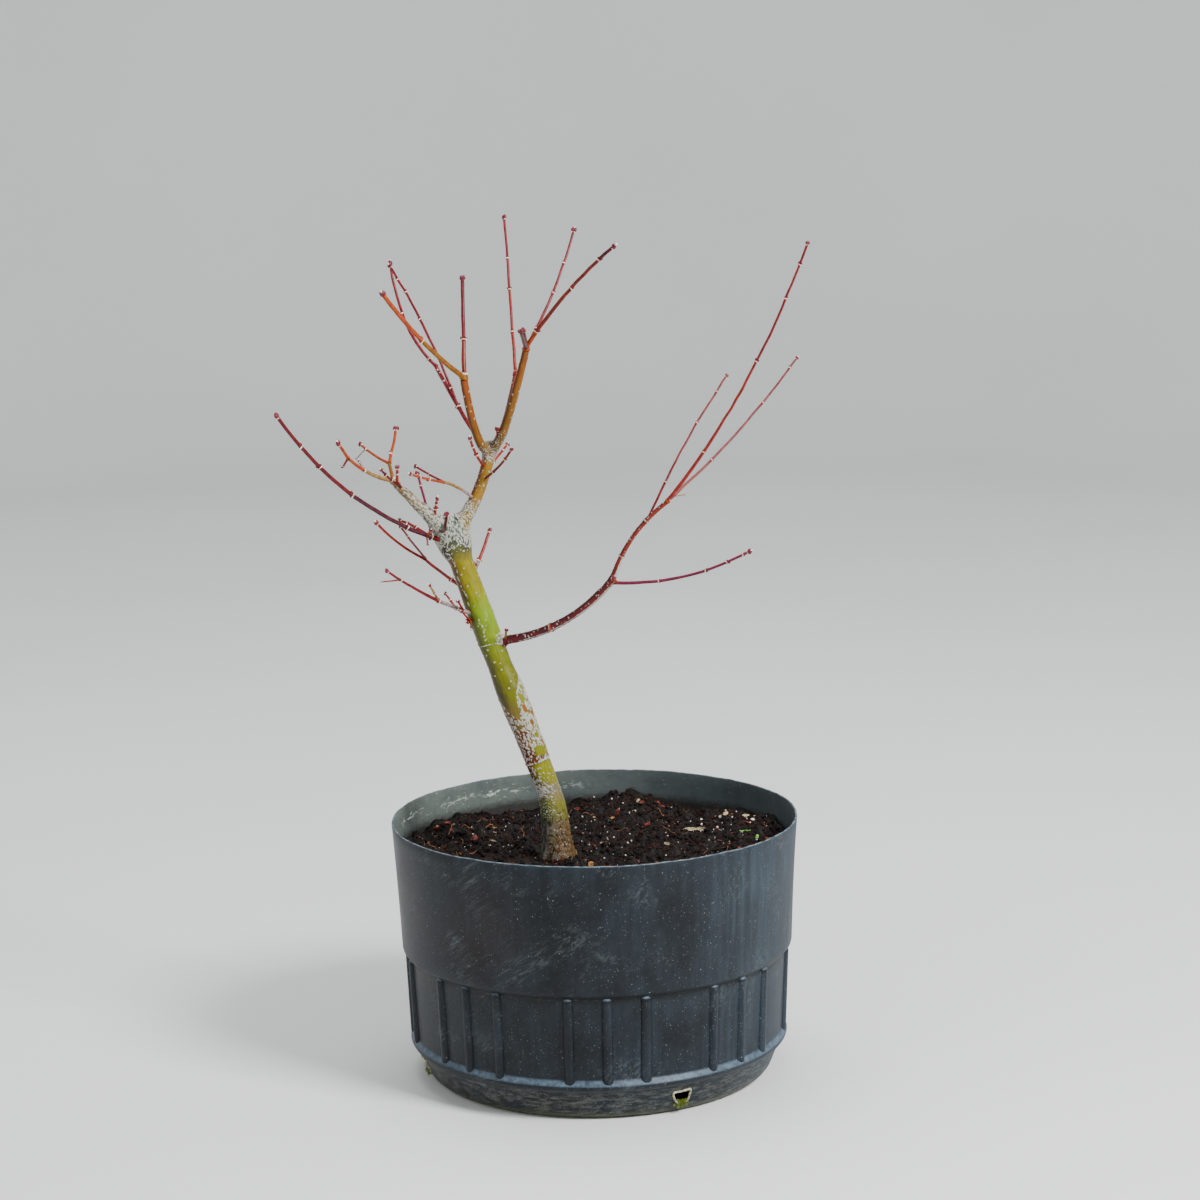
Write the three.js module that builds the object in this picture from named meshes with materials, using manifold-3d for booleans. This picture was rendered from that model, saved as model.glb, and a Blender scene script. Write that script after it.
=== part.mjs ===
// A young Japanese maple in winter: a leaning trunk, bare boughs and budded twigs, planted in a
// nursery pot that was cut down to a shallow tub. Millimetres, +Z up. The origin is the middle of
// the pot's flat underside, -Y is the front and +X is to the right as seen from the front.
import * as THREE from "three";
import { mergeVertices } from "three/addons/utils/BufferGeometryUtils.js";
import Module from "manifold-3d";

const wasm = await Module();
wasm.setup();
const { Manifold } = wasm;

// Driving sizes of the pot
const RIM_RADIUS = 135;
const RIM_HEIGHT = 174.5;
const STEP_HEIGHT = 87;
const LEDGE_HEIGHT = 27;
const WALL = 1.5;
const FLOOR = 1.8;
const CLEAR = 0.3;
const POT_SIDES = 48;
const RIM_OVAL = 1.2;
const RIB_GROUPS = 8;
const RIBS_IN_GROUP = 3;
const RIB_PITCH_DEG = 11.4;
const FIRST_GROUP_DEG = 2.6;
const RIB_RADIUS = 4;
const RIB_PROUD = 2.6;
const RIB_SIDES = 8;
const RIB_FOOT_SUNK = 2;
const RIB_TOP_SUNK = 1;
const HOLES_DEG = [26, 104, 206, 284];
const HOLE_WIDTH = 12.6;
const HOLE_HEIGHT = 9;
const HOLE_LOW = 7.6;
const HOLE_DEPTH = 24;

// Driving sizes of the soil: flat under the trunk's foot, and open ground from further out
const SOIL_LEVEL = 152.7;
const SOIL_RELIEF = 7;
const SOIL_RINGS = 7;
const SOIL_FLAT_REACH = 15;
const SOIL_OPEN_REACH = 34;
const RIPPLE_HEIGHT = 1.1;
const RIPPLE_LENGTH = 62;

// Driving sizes of the tree
const FOOT = [-25, -27, SOIL_LEVEL + CLEAR];
const TRUNK_SIDES = 20;
const FORK_SIDES = 14;
const FORK_START = 0.95;
const FORK_STEPS = 4;
const BOUGH_SIDES = 10;
const BOUGH_STEPS = 7;
const TWIG_SIDES = 5;
const TWIG_STEP_LENGTH = 30;
const NEAR_TIP = 0.9;
const BUD_SIDES = 4;
const BUD_LENGTH = 2.8;
const BUD_WIDTH = 1.3;
const BUD_BELLY = 0.4;
const BUD_LEAN_OUT = 0.8;
const BUD_LEAN_UP = 0.75;
const BUD_ROOT = 0.3;
const TIP_BUD_LENGTH = 4.4;
const TIP_BUD_WIDTH = 2.2;
const SEED = 7;

const FINISH = {
  pot: { color: 0x333b42, roughness: 0.55, metalness: 0 },
  soil: { color: 0x2a1c15, roughness: 1, metalness: 0 },
  trunk: { color: 0x8f9440, roughness: 0.6, metalness: 0 },
  pale_bark: { color: 0xb5a98c, roughness: 0.8, metalness: 0 },
  tan_bark: { color: 0xa8823f, roughness: 0.6, metalness: 0 },
  orange_bark: { color: 0xa4561c, roughness: 0.45, metalness: 0 },
  red_bark: { color: 0x7c2a2c, roughness: 0.45, metalness: 0 },
  red_twig: { color: 0xa33a48, roughness: 0.4, metalness: 0 },
};

// Outer wall of the pot from the foot to the rim, as [radius, height]
const FOOT_WALL = [
  [108, 0],
  [113, 1.4],
  [116.8, 5],
  [123.2, 21],
  [126.6, 23.6],
  [127.6, LEDGE_HEIGHT - 1],
  [124.8, LEDGE_HEIGHT + 3.2],
];
const STEP_WALL = [
  [127.4, STEP_HEIGHT - 2.5],
  [131.4, STEP_HEIGHT + 1.5],
  [RIM_RADIUS, RIM_HEIGHT],
];
const OUTER_WALL = [...FOOT_WALL, ...STEP_WALL];

// Rises and dips of the soil, as [right, back, height, reach]
const SOIL_MOUNDS = [
  [24, 122, 5.5, 28],
  [-45, 112, -5, 38],
  [118, 45, 4.5, 45],
  [-105, 0, -2.5, 60],
  [76, 102, -3, 24],
];

// Limbs, thick to thin. Each grows from its parent, at a share of the parent's length, to a tip
// given as [right, back, up] from where it starts. sag is how far its middle hangs below the
// straight line, bend is the share where it bends most, and widths are the thicknesses at evenly
// spaced places from butt to tip.
const BOUGHS = [
  {
    name: "bough_left", on: "fork_left", to: [-29, -16, 33], sag: 0,
    widths: [11.5, 8.4, 6.6, 5], bark: "pale_bark",
  },
  {
    name: "bough_right", on: "fork_right", to: [21, 14, 49], sag: 4,
    widths: [9.6, 8.2, 7.6, 8.4], bark: "tan_bark",
  },
  {
    name: "bough_top_left", on: "bough_right", to: [-15, -20, 48], sag: 7, bend: 0.05,
    widths: [6.4, 5.4, 5.2, 5], bark: "orange_bark",
  },
  {
    name: "bough_top_right", on: "bough_right", to: [26, -26, 67], sag: 5.5, bend: 0.05,
    widths: [6.6, 5.6, 5, 4.6], bark: "orange_bark",
  },
  {
    name: "bough_top_back", on: "bough_top_right", at: 0.22, to: [9, 31, 34], sag: 1,
    widths: [4.2, 3.8, 3.6], bark: "red_bark",
  },
  {
    name: "bough_low_right", on: "trunk", at: 0.656, to: [81, -36, 46], sag: 10,
    widths: [6.4, 5.2, 4.8, 4.6], bark: "red_bark",
  },
  {
    name: "bough_low_right_outer", on: "bough_low_right", to: [36, -9, 51], sag: -5,
    widths: [3.6, 3, 2.8], bark: "red_bark",
  },
];

// Twig masses. The first shoot of each is its stem, which meets the limb named by on, and the
// others grow from a shoot of the same mass. joints are the shares of the length where a pair of
// buds sits, and a tip that carries no other shoot ends in a bud.
const MASSES = {
  twigs_top_left: {
    on: "bough_top_left",
    bark: "orange_bark",
    shoots: [
      { name: "knuckle", to: [0.5, 0, 4], widths: [5.6, 5.2] },
      {
        name: "arm", on: "knuckle", at: 0.3, to: [-48, -38, 58], sag: 3,
        widths: [4, 3.4, 3.2], joints: [0.5],
      },
      {
        name: "upright", on: "knuckle", at: 0.5, to: [-0.5, 28, 61], sag: -1,
        widths: [3.4, 2.8, 2.8], joints: [0.37],
      },
    ],
  },
  twigs_top_left_back: {
    on: "bough_top_left",
    at: 0.14,
    bark: "red_twig",
    shoots: [
      { name: "stem", to: [-31, 42, 49], sag: 1, widths: [3.4, 3, 3], joints: [0.12, 0.5] },
      {
        name: "bent_tip", on: "stem", to: [-31, 44, 65], sag: 11,
        widths: [2.6, 2.2, 2], joints: [0.1, 0.6],
      },
      {
        name: "long_tip", on: "stem", at: 0.52, to: [-44, 36, 90], sag: -3.5,
        widths: [2, 1.9, 1.7], joints: [0.12, 0.32, 0.6, 0.8, 0.9],
      },
      { name: "spur", on: "stem", at: 0.68, to: [-7, -8, 15], widths: [1.8, 1.5], joints: [0.6] },
    ],
  },
  twigs_top_upright: {
    on: "bough_top_back",
    bark: "red_twig",
    shoots: [
      { name: "knuckle", to: [0, 1, 3], widths: [4, 3.6] },
      {
        name: "rod", on: "knuckle", at: 0.4, to: [-6, 46, 100],
        widths: [2.5, 2, 1.8], joints: [0.27, 0.54, 0.74],
      },
    ],
  },
  twigs_top_right: {
    on: "bough_top_right",
    bark: "red_bark",
    shoots: [
      { name: "knuckle", to: [0.6, -0.5, 3.5], widths: [5, 4.4] },
      { name: "stub", on: "knuckle", at: 0.2, to: [-2.5, -28, 14], widths: [3, 2.8] },
      { name: "stub_small", on: "knuckle", at: 0.4, to: [-1, -18, 13], widths: [2.6, 2.4] },
      {
        name: "arm", on: "knuckle", at: 0.6, to: [57, -51, 67], sag: -3.5,
        widths: [3.4, 2.6, 2.4], joints: [0.14, 0.56, 0.86],
      },
      {
        name: "rod", on: "knuckle", at: 0.6, to: [32, 46, 71], sag: 4,
        widths: [2.4, 2, 1.8], joints: [0.17, 0.49, 0.74],
      },
    ],
  },
  twigs_inner_left: {
    on: "bough_right",
    at: 0.76,
    bark: "red_twig",
    shoots: [{ name: "stem", to: [-9, -17, 22], sag: 2, widths: [2.2, 1.8], joints: [0.55, 0.8] }],
  },
  twig_inner_right_back: {
    on: "bough_right",
    at: 0.72,
    bark: "red_twig",
    shoots: [{ name: "stem", to: [14, 25, 14], widths: [2, 1.8], joints: [0.35, 0.8] }],
  },
  twig_inner_right_front: {
    on: "bough_right",
    at: 0.62,
    bark: "red_twig",
    shoots: [{ name: "stem", to: [20, -26, 23], sag: 2, widths: [2, 1.7], joints: [0.35, 0.75] }],
  },
  twig_top_spur: {
    on: "bough_top_right",
    at: 0.12,
    bark: "red_twig",
    shoots: [{ name: "stem", to: [0, -6, 9], widths: [2, 1.8] }],
  },
  twigs_left: {
    on: "bough_left",
    bark: "orange_bark",
    shoots: [
      { name: "knuckle", to: [-1, -0.5, 1.5], widths: [5, 4.4] },
      {
        name: "arm", on: "knuckle", at: 0.4, to: [-27, -21, 18], sag: 2.5,
        widths: [3.4, 2.6, 2.2], joints: [0.62],
      },
      { name: "arm_tip", on: "arm", to: [-5, -7, 10], widths: [2.2, 2.2] },
      { name: "arm_spur", on: "arm", to: [-4, 6, -6], widths: [1.6, 1.5] },
      { name: "arm_bud", on: "arm", at: 0.62, to: [-3, 4, 5], widths: [1.8, 1.5] },
      { name: "riser", on: "knuckle", at: 0.5, to: [-2.5, 8.5, 10], sag: -1, widths: [2.6, 2.4] },
      { name: "riser_tip", on: "riser", to: [4, 18, 19.5], widths: [2.2, 2], joints: [0.28] },
      { name: "riser_arm", on: "riser", to: [-19.5, 20.5, 10], sag: 1, widths: [2.2, 1.8], joints: [0.78] },
      { name: "riser_spur", on: "riser_arm", at: 0.82, to: [-7, 10, -8], widths: [0.9, 0.9] },
    ],
  },
  twigs_left_spurs: {
    on: "bough_left",
    at: 0.84,
    bark: "red_twig",
    shoots: [
      { name: "stem", to: [-2, -8, 5], widths: [2.6, 2.2] },
      {
        name: "long_spur", on: "stem", at: 0.7, to: [-9.5, -17, 12], sag: 1,
        widths: [1.8, 1.6], joints: [0.4, 0.75],
      },
      { name: "upright_spur", on: "stem", to: [0.5, -1, 10], widths: [1.9, 1.8], joints: [0.6] },
    ],
  },
  twig_saddle_thin: {
    on: "bough_left",
    at: 0.26,
    bark: "red_twig",
    shoots: [{ name: "stem", to: [-8, 24, 24], widths: [2, 1.7], joints: [0.7] }],
  },
  twig_saddle_short: {
    on: "bough_left",
    at: 0.15,
    bark: "red_twig",
    shoots: [{ name: "stem", to: [3, -8, 15], widths: [2, 1.8], joints: [0.55, 0.8] }],
  },
  twig_front_spur: {
    on: "fork_left",
    at: 0.95,
    bark: "red_bark",
    shoots: [{ name: "stem", to: [5, -34, 14], sag: 6, widths: [2.8, 2.4], joints: [] }],
  },
  twigs_arched: {
    on: "bough_right",
    at: 0.36,
    bark: "orange_bark",
    shoots: [
      { name: "stem", to: [-19, -20, 15], sag: -2, widths: [2.4, 2.1], joints: [] },
      { name: "lower", on: "stem", to: [-20, -20, 9], sag: 0.5, widths: [1.9, 1.7], joints: [0.45, 0.72] },
      { name: "upper", on: "stem", to: [-19, 20, 8], widths: [1.8, 1.7], joints: [0.5] },
    ],
  },
  twigs_long_left: {
    on: "trunk",
    at: 0.95,
    bark: "red_twig",
    shoots: [
      {
        name: "stem", to: [-107, -67, 95], sag: 13,
        widths: [4, 3.2, 2.8, 2.5], joints: [0.12, 0.24, 0.53, 0.72, 0.84],
      },
      {
        name: "second", on: "stem", at: 0.14, to: [-17.5, 13, 8], sag: -1,
        widths: [2.4, 1.9], joints: [0.4, 0.75],
      },
      { name: "spur_up", on: "stem", at: 0.14, to: [3, -9, 5], widths: [1.6, 1.5] },
      { name: "spur_down", on: "stem", at: 0.14, to: [1, -8, -5], widths: [1.4, 1.2] },
    ],
  },
  twigs_low_left: {
    on: "trunk",
    at: 0.8,
    bark: "red_twig",
    shoots: [
      { name: "stem", to: [-32, 23, 20], sag: 1, widths: [2.6, 2.2], joints: [0.43] },
      { name: "arm", on: "stem", to: [-29.5, -22, 28], sag: 2, widths: [2, 1.9], joints: [] },
      { name: "back_arm", on: "stem", to: [-17, 28, 17], widths: [1.7, 1.6], joints: [0.7] },
    ],
  },
  twigs_lowest_left: {
    on: "trunk",
    at: 0.733,
    bark: "pale_bark",
    shoots: [
      { name: "stem", to: [-58, -40, 38], sag: 3, widths: [3.4, 2.8, 2, 1.7], joints: [0.25, 0.44, 0.85] },
      { name: "dry_spur", on: "stem", at: 0.44, to: [-5, -10, 12], widths: [1.7, 1.5], joints: [0.5] },
      { name: "red_spur", on: "stem", at: 0.26, to: [-7, 13, 7], widths: [1.7, 1.5], joints: [0.5] },
      { name: "near_spur", on: "stem", at: 0.18, to: [-3, -11, 8], widths: [1.7, 1.5] },
      { name: "tip_spur", on: "stem", at: 0.86, to: [-12, 10, -3], widths: [1.1, 1] },
    ],
  },
  twig_trunk_spur: {
    on: "trunk",
    at: 0.719,
    bark: "red_twig",
    shoots: [
      { name: "stem", to: [-9, -6, 1], widths: [2, 1.8] },
      { name: "low", on: "stem", at: 0.9, to: [1, -15, -2], widths: [1.5, 1.4] },
      { name: "high", on: "stem", at: 0.9, to: [-5, -9, 8], widths: [1.5, 1.4] },
    ],
  },
  twig_right_side: {
    on: "trunk",
    at: 0.83,
    bark: "red_twig",
    shoots: [
      { name: "stem", to: [13, 24, 31], sag: 1, widths: [2.6, 2.2], joints: [0.45] },
      { name: "side_bud", on: "stem", at: 0.35, to: [-4, 2, 5], widths: [1.5, 1.4] },
    ],
  },
  twig_bough_foot: {
    on: "bough_low_right",
    at: 0.1,
    bark: "pale_bark",
    shoots: [{ name: "stem", to: [2, -13, 9], widths: [1.7, 1.5] }],
  },
  twigs_right_inner: {
    on: "bough_low_right_outer",
    at: 0.74,
    bark: "red_twig",
    shoots: [
      {
        name: "stem", to: [53.5, 43, 86], sag: -3,
        widths: [1.8, 1.6, 1.5], joints: [0.24, 0.65, 0.88],
      },
    ],
  },
  twigs_right_tips: {
    on: "bough_low_right_outer",
    bark: "red_twig",
    shoots: [
      { name: "knuckle", to: [1.5, -0.5, 2], widths: [3.2, 3] },
      {
        name: "long_rod", on: "knuckle", at: 0.5, to: [87, -56, 166], sag: 8,
        widths: [2.8, 2.1, 1.8, 1.7], joints: [0.22, 0.58, 0.81, 0.93],
      },
      {
        name: "low_rod", on: "knuckle", at: 0.5, to: [87, 60, 83], sag: 4,
        widths: [2, 1.7, 1.5], joints: [0.31, 0.71, 0.94],
      },
      { name: "dry_spur", on: "low_rod", at: 0.03, to: [8, 14, -1], widths: [0.9, 0.9] },
    ],
  },
  twigs_right_low: {
    on: "bough_low_right",
    at: 0.97,
    bark: "red_twig",
    shoots: [
      {
        name: "stem", to: [88, -46, 26], sag: 6.5,
        widths: [2.6, 2.2, 2, 1.8], joints: [0.35, 0.68, 0.84, 0.96],
      },
      { name: "near_spur", on: "stem", at: 0.05, to: [-2, -8, 5], widths: [1.8, 1.6] },
    ],
  },
};

// Trunk above the soil, as [right, back, up] from its foot, and its thickness at places up it
const TRUNK_LINE = [
  [0, 0, 0],
  [-2.5, 2, 36],
  [-14, 4, 72],
  [-41, 8, 146],
  [-66, 12, 221],
];
const TRUNK_WIDTHS = [
  [0, 25],
  [0.03, 22],
  [0.08, 19.2],
  [0.13, 17.6],
  [0.21, 15.2],
  [0.29, 16.4],
  [0.33, 17.4],
  [0.36, 16.6],
  [0.44, 18.2],
  [0.51, 18.6],
  [0.58, 16],
  [0.66, 16.8],
  [0.73, 17],
  [0.85, 15.6],
  [0.93, 15.6],
  [1, 18],
];
const FORKS = [
  { name: "fork_left", to: [-9, -1, 12], sag: 1, widths: [14.5, 13, 11] },
  { name: "fork_right", to: [3, 1, 12], sag: 0.5, widths: [14.5, 12.5, 10] },
];

// A number from 0 to 1 that depends only on the seed and n
function chance(n) {
  const s = Math.sin(n * 12.9898 + SEED * 78.233) * 43758.5453;
  return s - Math.floor(s);
}

// A closed geometry as a solid that can be joined and cut
function solidOf(geometry) {
  const plain = new THREE.BufferGeometry();
  plain.setAttribute("position", geometry.getAttribute("position"));
  plain.setIndex(geometry.getIndex());
  const merged = mergeVertices(plain, 1e-4);
  return new Manifold(
    new wasm.Mesh({
      numProp: 3,
      vertProperties: new Float32Array(merged.getAttribute("position").array),
      triVerts: new Uint32Array(merged.getIndex().array),
    }),
  );
}

// A solid as a geometry. Of several bodies only the largest is kept.
function geometryOf(solid) {
  const bodies = solid.decompose().sort((a, b) => b.volume() - a.volume());
  const { vertProperties, triVerts, numProp } = bodies[0].getMesh();
  const geometry = new THREE.BufferGeometry();
  geometry.setAttribute("position", new THREE.BufferAttribute(new Float32Array(vertProperties), numProp));
  geometry.setIndex(new THREE.BufferAttribute(new Uint32Array(triVerts), 1));
  return geometry;
}

// A named mesh in one of the finishes
function meshOf(name, geometry, finish) {
  geometry.computeVertexNormals();
  const mesh = new THREE.Mesh(geometry, new THREE.MeshStandardMaterial(FINISH[finish]));
  mesh.name = name;
  return mesh;
}

// A lathe of [radius, height] points about +Z
function lathe(points, sides) {
  const profile = points.map(([radius, height]) => new THREE.Vector2(radius, height));
  return new THREE.LatheGeometry(profile, sides).rotateX(Math.PI / 2);
}

// A round limb along a curve. rows are [share of the length, radius]; grow widens it, to cut
// neighbours clear of it.
function limbGeometry(curve, rows, sides, grow = 0) {
  const ends = [rows[0][0], rows[rows.length - 1][0]];
  const profile = [[0, ends[0]], ...rows.map(([share, radius]) => [radius + grow, share]), [0, ends[1]]];
  const geometry = lathe(profile, sides);
  const position = geometry.getAttribute("position");
  let across = new THREE.Vector3(0, 1, 0).cross(curve.getTangentAt(0));
  if (across.lengthSq() < 0.1) across = new THREE.Vector3(1, 0, 0);
  const frames = profile.map(([, share]) => {
    const along = curve.getTangentAt(share);
    across = across.clone().addScaledVector(along, -across.dot(along)).normalize();
    const overrun = share === ends[0] ? -grow : share === ends[1] ? grow : 0;
    const middle = curve.getPointAt(share).addScaledVector(along, overrun);
    return { middle, across, other: along.clone().cross(across) };
  });
  for (let i = 0; i < position.count; i++) {
    const frame = frames[i % profile.length];
    const point = frame.middle.clone();
    point.addScaledVector(frame.across, position.getX(i)).addScaledVector(frame.other, position.getY(i));
    position.setXYZ(i, point.x, point.y, point.z);
  }
  return geometry;
}

// The curve of a limb from its start over [right, back, up], hanging by sag below the straight line
function sweep(start, { to, sag = 0, bend = 0.5 }) {
  const chord = new THREE.Vector3(...to);
  const down = new THREE.Vector3(0, 0, -1);
  down.addScaledVector(chord, -down.dot(chord) / chord.lengthSq());
  const pull = start.clone().addScaledVector(chord, bend);
  if (down.lengthSq() > 1e-6) pull.addScaledVector(down.normalize(), 2 * sag);
  return new THREE.QuadraticBezierCurve3(start, pull, start.clone().add(chord));
}

// The thickness at a share, from evenly spaced widths
function widthAt(widths, share) {
  const place = Math.min(share, 1) * (widths.length - 1);
  const low = Math.min(Math.floor(place), widths.length - 2);
  return THREE.MathUtils.lerp(widths[low], widths[low + 1], place - low);
}

// Evenly spaced rows of a limb, as [share of the length, radius]
function limbRows(widths, steps) {
  return Array.from({ length: steps + 1 }, (_, i) => [i / steps, widthAt(widths, i / steps) / 2]);
}

// One pointed bud, four-sided and widest below its middle
function bud(root, direction, length, width) {
  const geometry = lathe([[0, 0], [width / 2, length * BUD_BELLY], [0, length]], BUD_SIDES);
  const turn = new THREE.Quaternion().setFromUnitVectors(new THREE.Vector3(0, 0, 1), direction);
  return solidOf(geometry.applyQuaternion(turn).translate(root.x, root.y, root.z));
}

// Opposite buds at each joint, each pair turned a quarter from the last, from a seeded start
function jointBuds(curve, widths, joints, seed) {
  const start = chance(seed) * Math.PI;
  return joints.flatMap((joint, i) => {
    const along = curve.getTangentAt(joint);
    const across = new THREE.Vector3(1, 0, 0).cross(along).normalize();
    across.applyAxisAngle(along, start + (i * Math.PI) / 2);
    const radius = widthAt(widths, joint) / 2;
    return [1, -1].map((way) => {
      const direction = along.clone().multiplyScalar(BUD_LEAN_UP);
      direction.addScaledVector(across, way * BUD_LEAN_OUT).normalize();
      const root = curve.getPointAt(joint).addScaledVector(across, way * radius * BUD_ROOT);
      return bud(root, direction, BUD_LENGTH + radius, BUD_WIDTH + radius);
    });
  });
}

// The bud at a free tip
function tipBud(curve, widths) {
  const radius = widthAt(widths, 1) / 2;
  const along = curve.getTangentAt(1);
  const root = curve.getPointAt(1).addScaledVector(along, -radius);
  return bud(root, along, TIP_BUD_LENGTH + radius, TIP_BUD_WIDTH + radius);
}

const limbs = new Map();
const keptClear = [];
let shootCount = 0;

// Remembers a limb's line, so that others can start on it, and the room it takes, so that they are
// cut clear of it. Gives back the limb as a solid.
function addLimb(name, curve, rows, sides) {
  limbs.set(name, curve);
  keptClear.push(solidOf(limbGeometry(curve, rows, sides, CLEAR)));
  return solidOf(limbGeometry(curve, rows, sides));
}

function startOn(limb, at = 1) {
  return limbs.get(limb).getPointAt(at);
}

// The trunk: one leaning stem, and the two short arms of its fork
function buildTrunk() {
  const foot = new THREE.Vector3(...FOOT);
  const line = TRUNK_LINE.map((offset) => foot.clone().add(new THREE.Vector3(...offset)));
  const curve = new THREE.CatmullRomCurve3(line);
  const rows = TRUNK_WIDTHS.map(([share, width]) => [share, width / 2]);
  const stem = addLimb("trunk", curve, rows, TRUNK_SIDES);
  const arms = FORKS.map((fork) => {
    const arm = sweep(startOn("trunk", FORK_START), fork);
    return addLimb(fork.name, arm, limbRows(fork.widths, FORK_STEPS), FORK_SIDES);
  });
  return Manifold.union([stem, ...arms]).trimByPlane([0, 0, 1], FOOT[2]);
}

// A bough, cut clear of the limbs before it
function buildBough(bough) {
  const before = Manifold.union(keptClear);
  const curve = sweep(startOn(bough.on, bough.at), bough);
  const limb = addLimb(bough.name, curve, limbRows(bough.widths, BOUGH_STEPS), BOUGH_SIDES);
  return limb.subtract(before);
}

// One mass: its stem and shoots with their buds, cut clear of every limb
function buildMass({ on, at, shoots }) {
  const pieces = [];
  const own = new Map();
  for (const shoot of shoots) {
    const start = shoot.on ? own.get(shoot.on).getPointAt(shoot.at ?? 1) : startOn(on, at);
    const curve = sweep(start, shoot);
    own.set(shoot.name, curve);
    shootCount += 1;
    const steps = Math.max(2, Math.round(curve.getLength() / TWIG_STEP_LENGTH));
    pieces.push(solidOf(limbGeometry(curve, limbRows(shoot.widths, steps), TWIG_SIDES)));
    pieces.push(...jointBuds(curve, shoot.widths, shoot.joints ?? [], shootCount));
    const carries = (other) => other.on === shoot.name && (other.at ?? 1) > NEAR_TIP;
    if (shoot.name !== "knuckle" && !shoots.some(carries)) pieces.push(tipBud(curve, shoot.widths));
  }
  return Manifold.union(pieces).subtract(Manifold.union(keptClear));
}

// The pot's inside, a wall's thickness in from its outside and shrunk further by gap
function cavityLine(gap) {
  const near = (height, reach) => Math.max(0, 1 - height / reach);
  return OUTER_WALL.map(([radius, height]) => [
    radius - WALL - gap,
    height + FLOOR * near(height, STEP_HEIGHT) + gap * near(height, LEDGE_HEIGHT),
  ]);
}

// Above its step the pot grows slightly wider across than from front to back
function ovalTop(geometry) {
  const position = geometry.getAttribute("position");
  for (let i = 0; i < position.count; i++) {
    const share = Math.max(0, position.getZ(i) - STEP_HEIGHT) / (RIM_HEIGHT - STEP_HEIGHT);
    const stretch = (RIM_OVAL * share * share) / RIM_RADIUS;
    position.setX(i, position.getX(i) * (1 + stretch));
    position.setY(i, position.getY(i) * (1 - stretch));
  }
  return geometry;
}

// The pot: a lathed wall with groups of ribs, hollowed out, with drain holes through its foot
function buildPot() {
  const ribs = [];
  for (let group = 0; group < RIB_GROUPS; group++) {
    for (let i = 0; i < RIBS_IN_GROUP; i++) {
      const offset = (i - (RIBS_IN_GROUP - 1) / 2) * RIB_PITCH_DEG;
      ribs.push(buildRib(FIRST_GROUP_DEG + (group * 360) / RIB_GROUPS + offset));
    }
  }
  const holes = HOLES_DEG.map((degrees) => {
    const cut = new THREE.BoxGeometry(HOLE_WIDTH, HOLE_DEPTH, HOLE_HEIGHT);
    cut.translate(0, -FOOT_WALL[2][0], HOLE_LOW + HOLE_HEIGHT / 2);
    return solidOf(cut.rotateZ(THREE.MathUtils.degToRad(degrees)));
  });
  const outside = solidOf(lathe([[0, 0], ...OUTER_WALL, [0, RIM_HEIGHT]], POT_SIDES));
  const cavity = solidOf(lathe([[0, FLOOR], ...cavityLine(0), [0, RIM_HEIGHT + 1]], POT_SIDES));
  return Manifold.union([outside, ...ribs]).subtract(Manifold.union([cavity, ...holes]));
}

// One half-round rib on the lower wall, leaning with it
function buildRib(degrees) {
  const [lowRadius, lowHeight] = FOOT_WALL[FOOT_WALL.length - 1];
  const [highRadius, highHeight] = STEP_WALL[0];
  const sunk = RIB_RADIUS - RIB_PROUD;
  const low = new THREE.Vector3(0, sunk - lowRadius, lowHeight - RIB_FOOT_SUNK);
  const high = new THREE.Vector3(0, sunk - highRadius, highHeight + RIB_TOP_SUNK);
  const rows = [[0, RIB_RADIUS], [1, RIB_RADIUS]];
  const bar = limbGeometry(new THREE.LineCurve3(low, high), rows, RIB_SIDES);
  return solidOf(bar.rotateZ(THREE.MathUtils.degToRad(degrees)));
}

// How high the soil stands above its level at a place: nothing under the trunk's foot, then rises
// and dips with a fine ripple
function soilLump(x, y) {
  const away = Math.hypot(x - FOOT[0], y - FOOT[1]);
  const wave = (2 * Math.PI) / RIPPLE_LENGTH;
  let rise = RIPPLE_HEIGHT * Math.sin(x * wave + SEED) * Math.cos(y * wave);
  for (const [right, back, height, reach] of SOIL_MOUNDS) {
    rise += height * Math.exp(-((x - right) ** 2 + (y - back) ** 2) / reach ** 2);
  }
  return rise * THREE.MathUtils.smoothstep(away, SOIL_FLAT_REACH, SOIL_OPEN_REACH);
}

// The soil: fills the pot to its level with a lumpy top
function buildSoil() {
  const sides = cavityLine(CLEAR).slice(0, -1);
  const [wide, high] = sides[sides.length - 1];
  const rise = (SOIL_LEVEL - SOIL_RELIEF - high) / (RIM_HEIGHT - high);
  const topRadius = THREE.MathUtils.lerp(wide, RIM_RADIUS - WALL - CLEAR, rise);
  const top = [];
  for (let i = SOIL_RINGS; i > 0; i--) top.push([(topRadius * i) / SOIL_RINGS, SOIL_LEVEL]);
  const geometry = lathe([[0, FLOOR + CLEAR], ...sides, ...top, [0, SOIL_LEVEL]], POT_SIDES);
  const position = geometry.getAttribute("position");
  for (let i = 0; i < position.count; i++) {
    const [x, y, z] = [position.getX(i), position.getY(i), position.getZ(i)];
    if (Math.abs(z - SOIL_LEVEL) < 0.01) position.setZ(i, z + soilLump(x, y));
  }
  return solidOf(geometry);
}

const plant = new THREE.Group();
plant.add(meshOf("pot", ovalTop(geometryOf(buildPot())), "pot"));
plant.add(meshOf("soil", ovalTop(geometryOf(buildSoil())), "soil"));
plant.add(meshOf("trunk", geometryOf(buildTrunk()), "trunk"));
for (const bough of BOUGHS) {
  plant.add(meshOf(bough.name, geometryOf(buildBough(bough)), bough.bark));
}
for (const [name, mass] of Object.entries(MASSES)) {
  plant.add(meshOf(name, geometryOf(buildMass(mass)), mass.bark));
}

export default plant;
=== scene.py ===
import itertools
import math
import random
from types import SimpleNamespace

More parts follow.
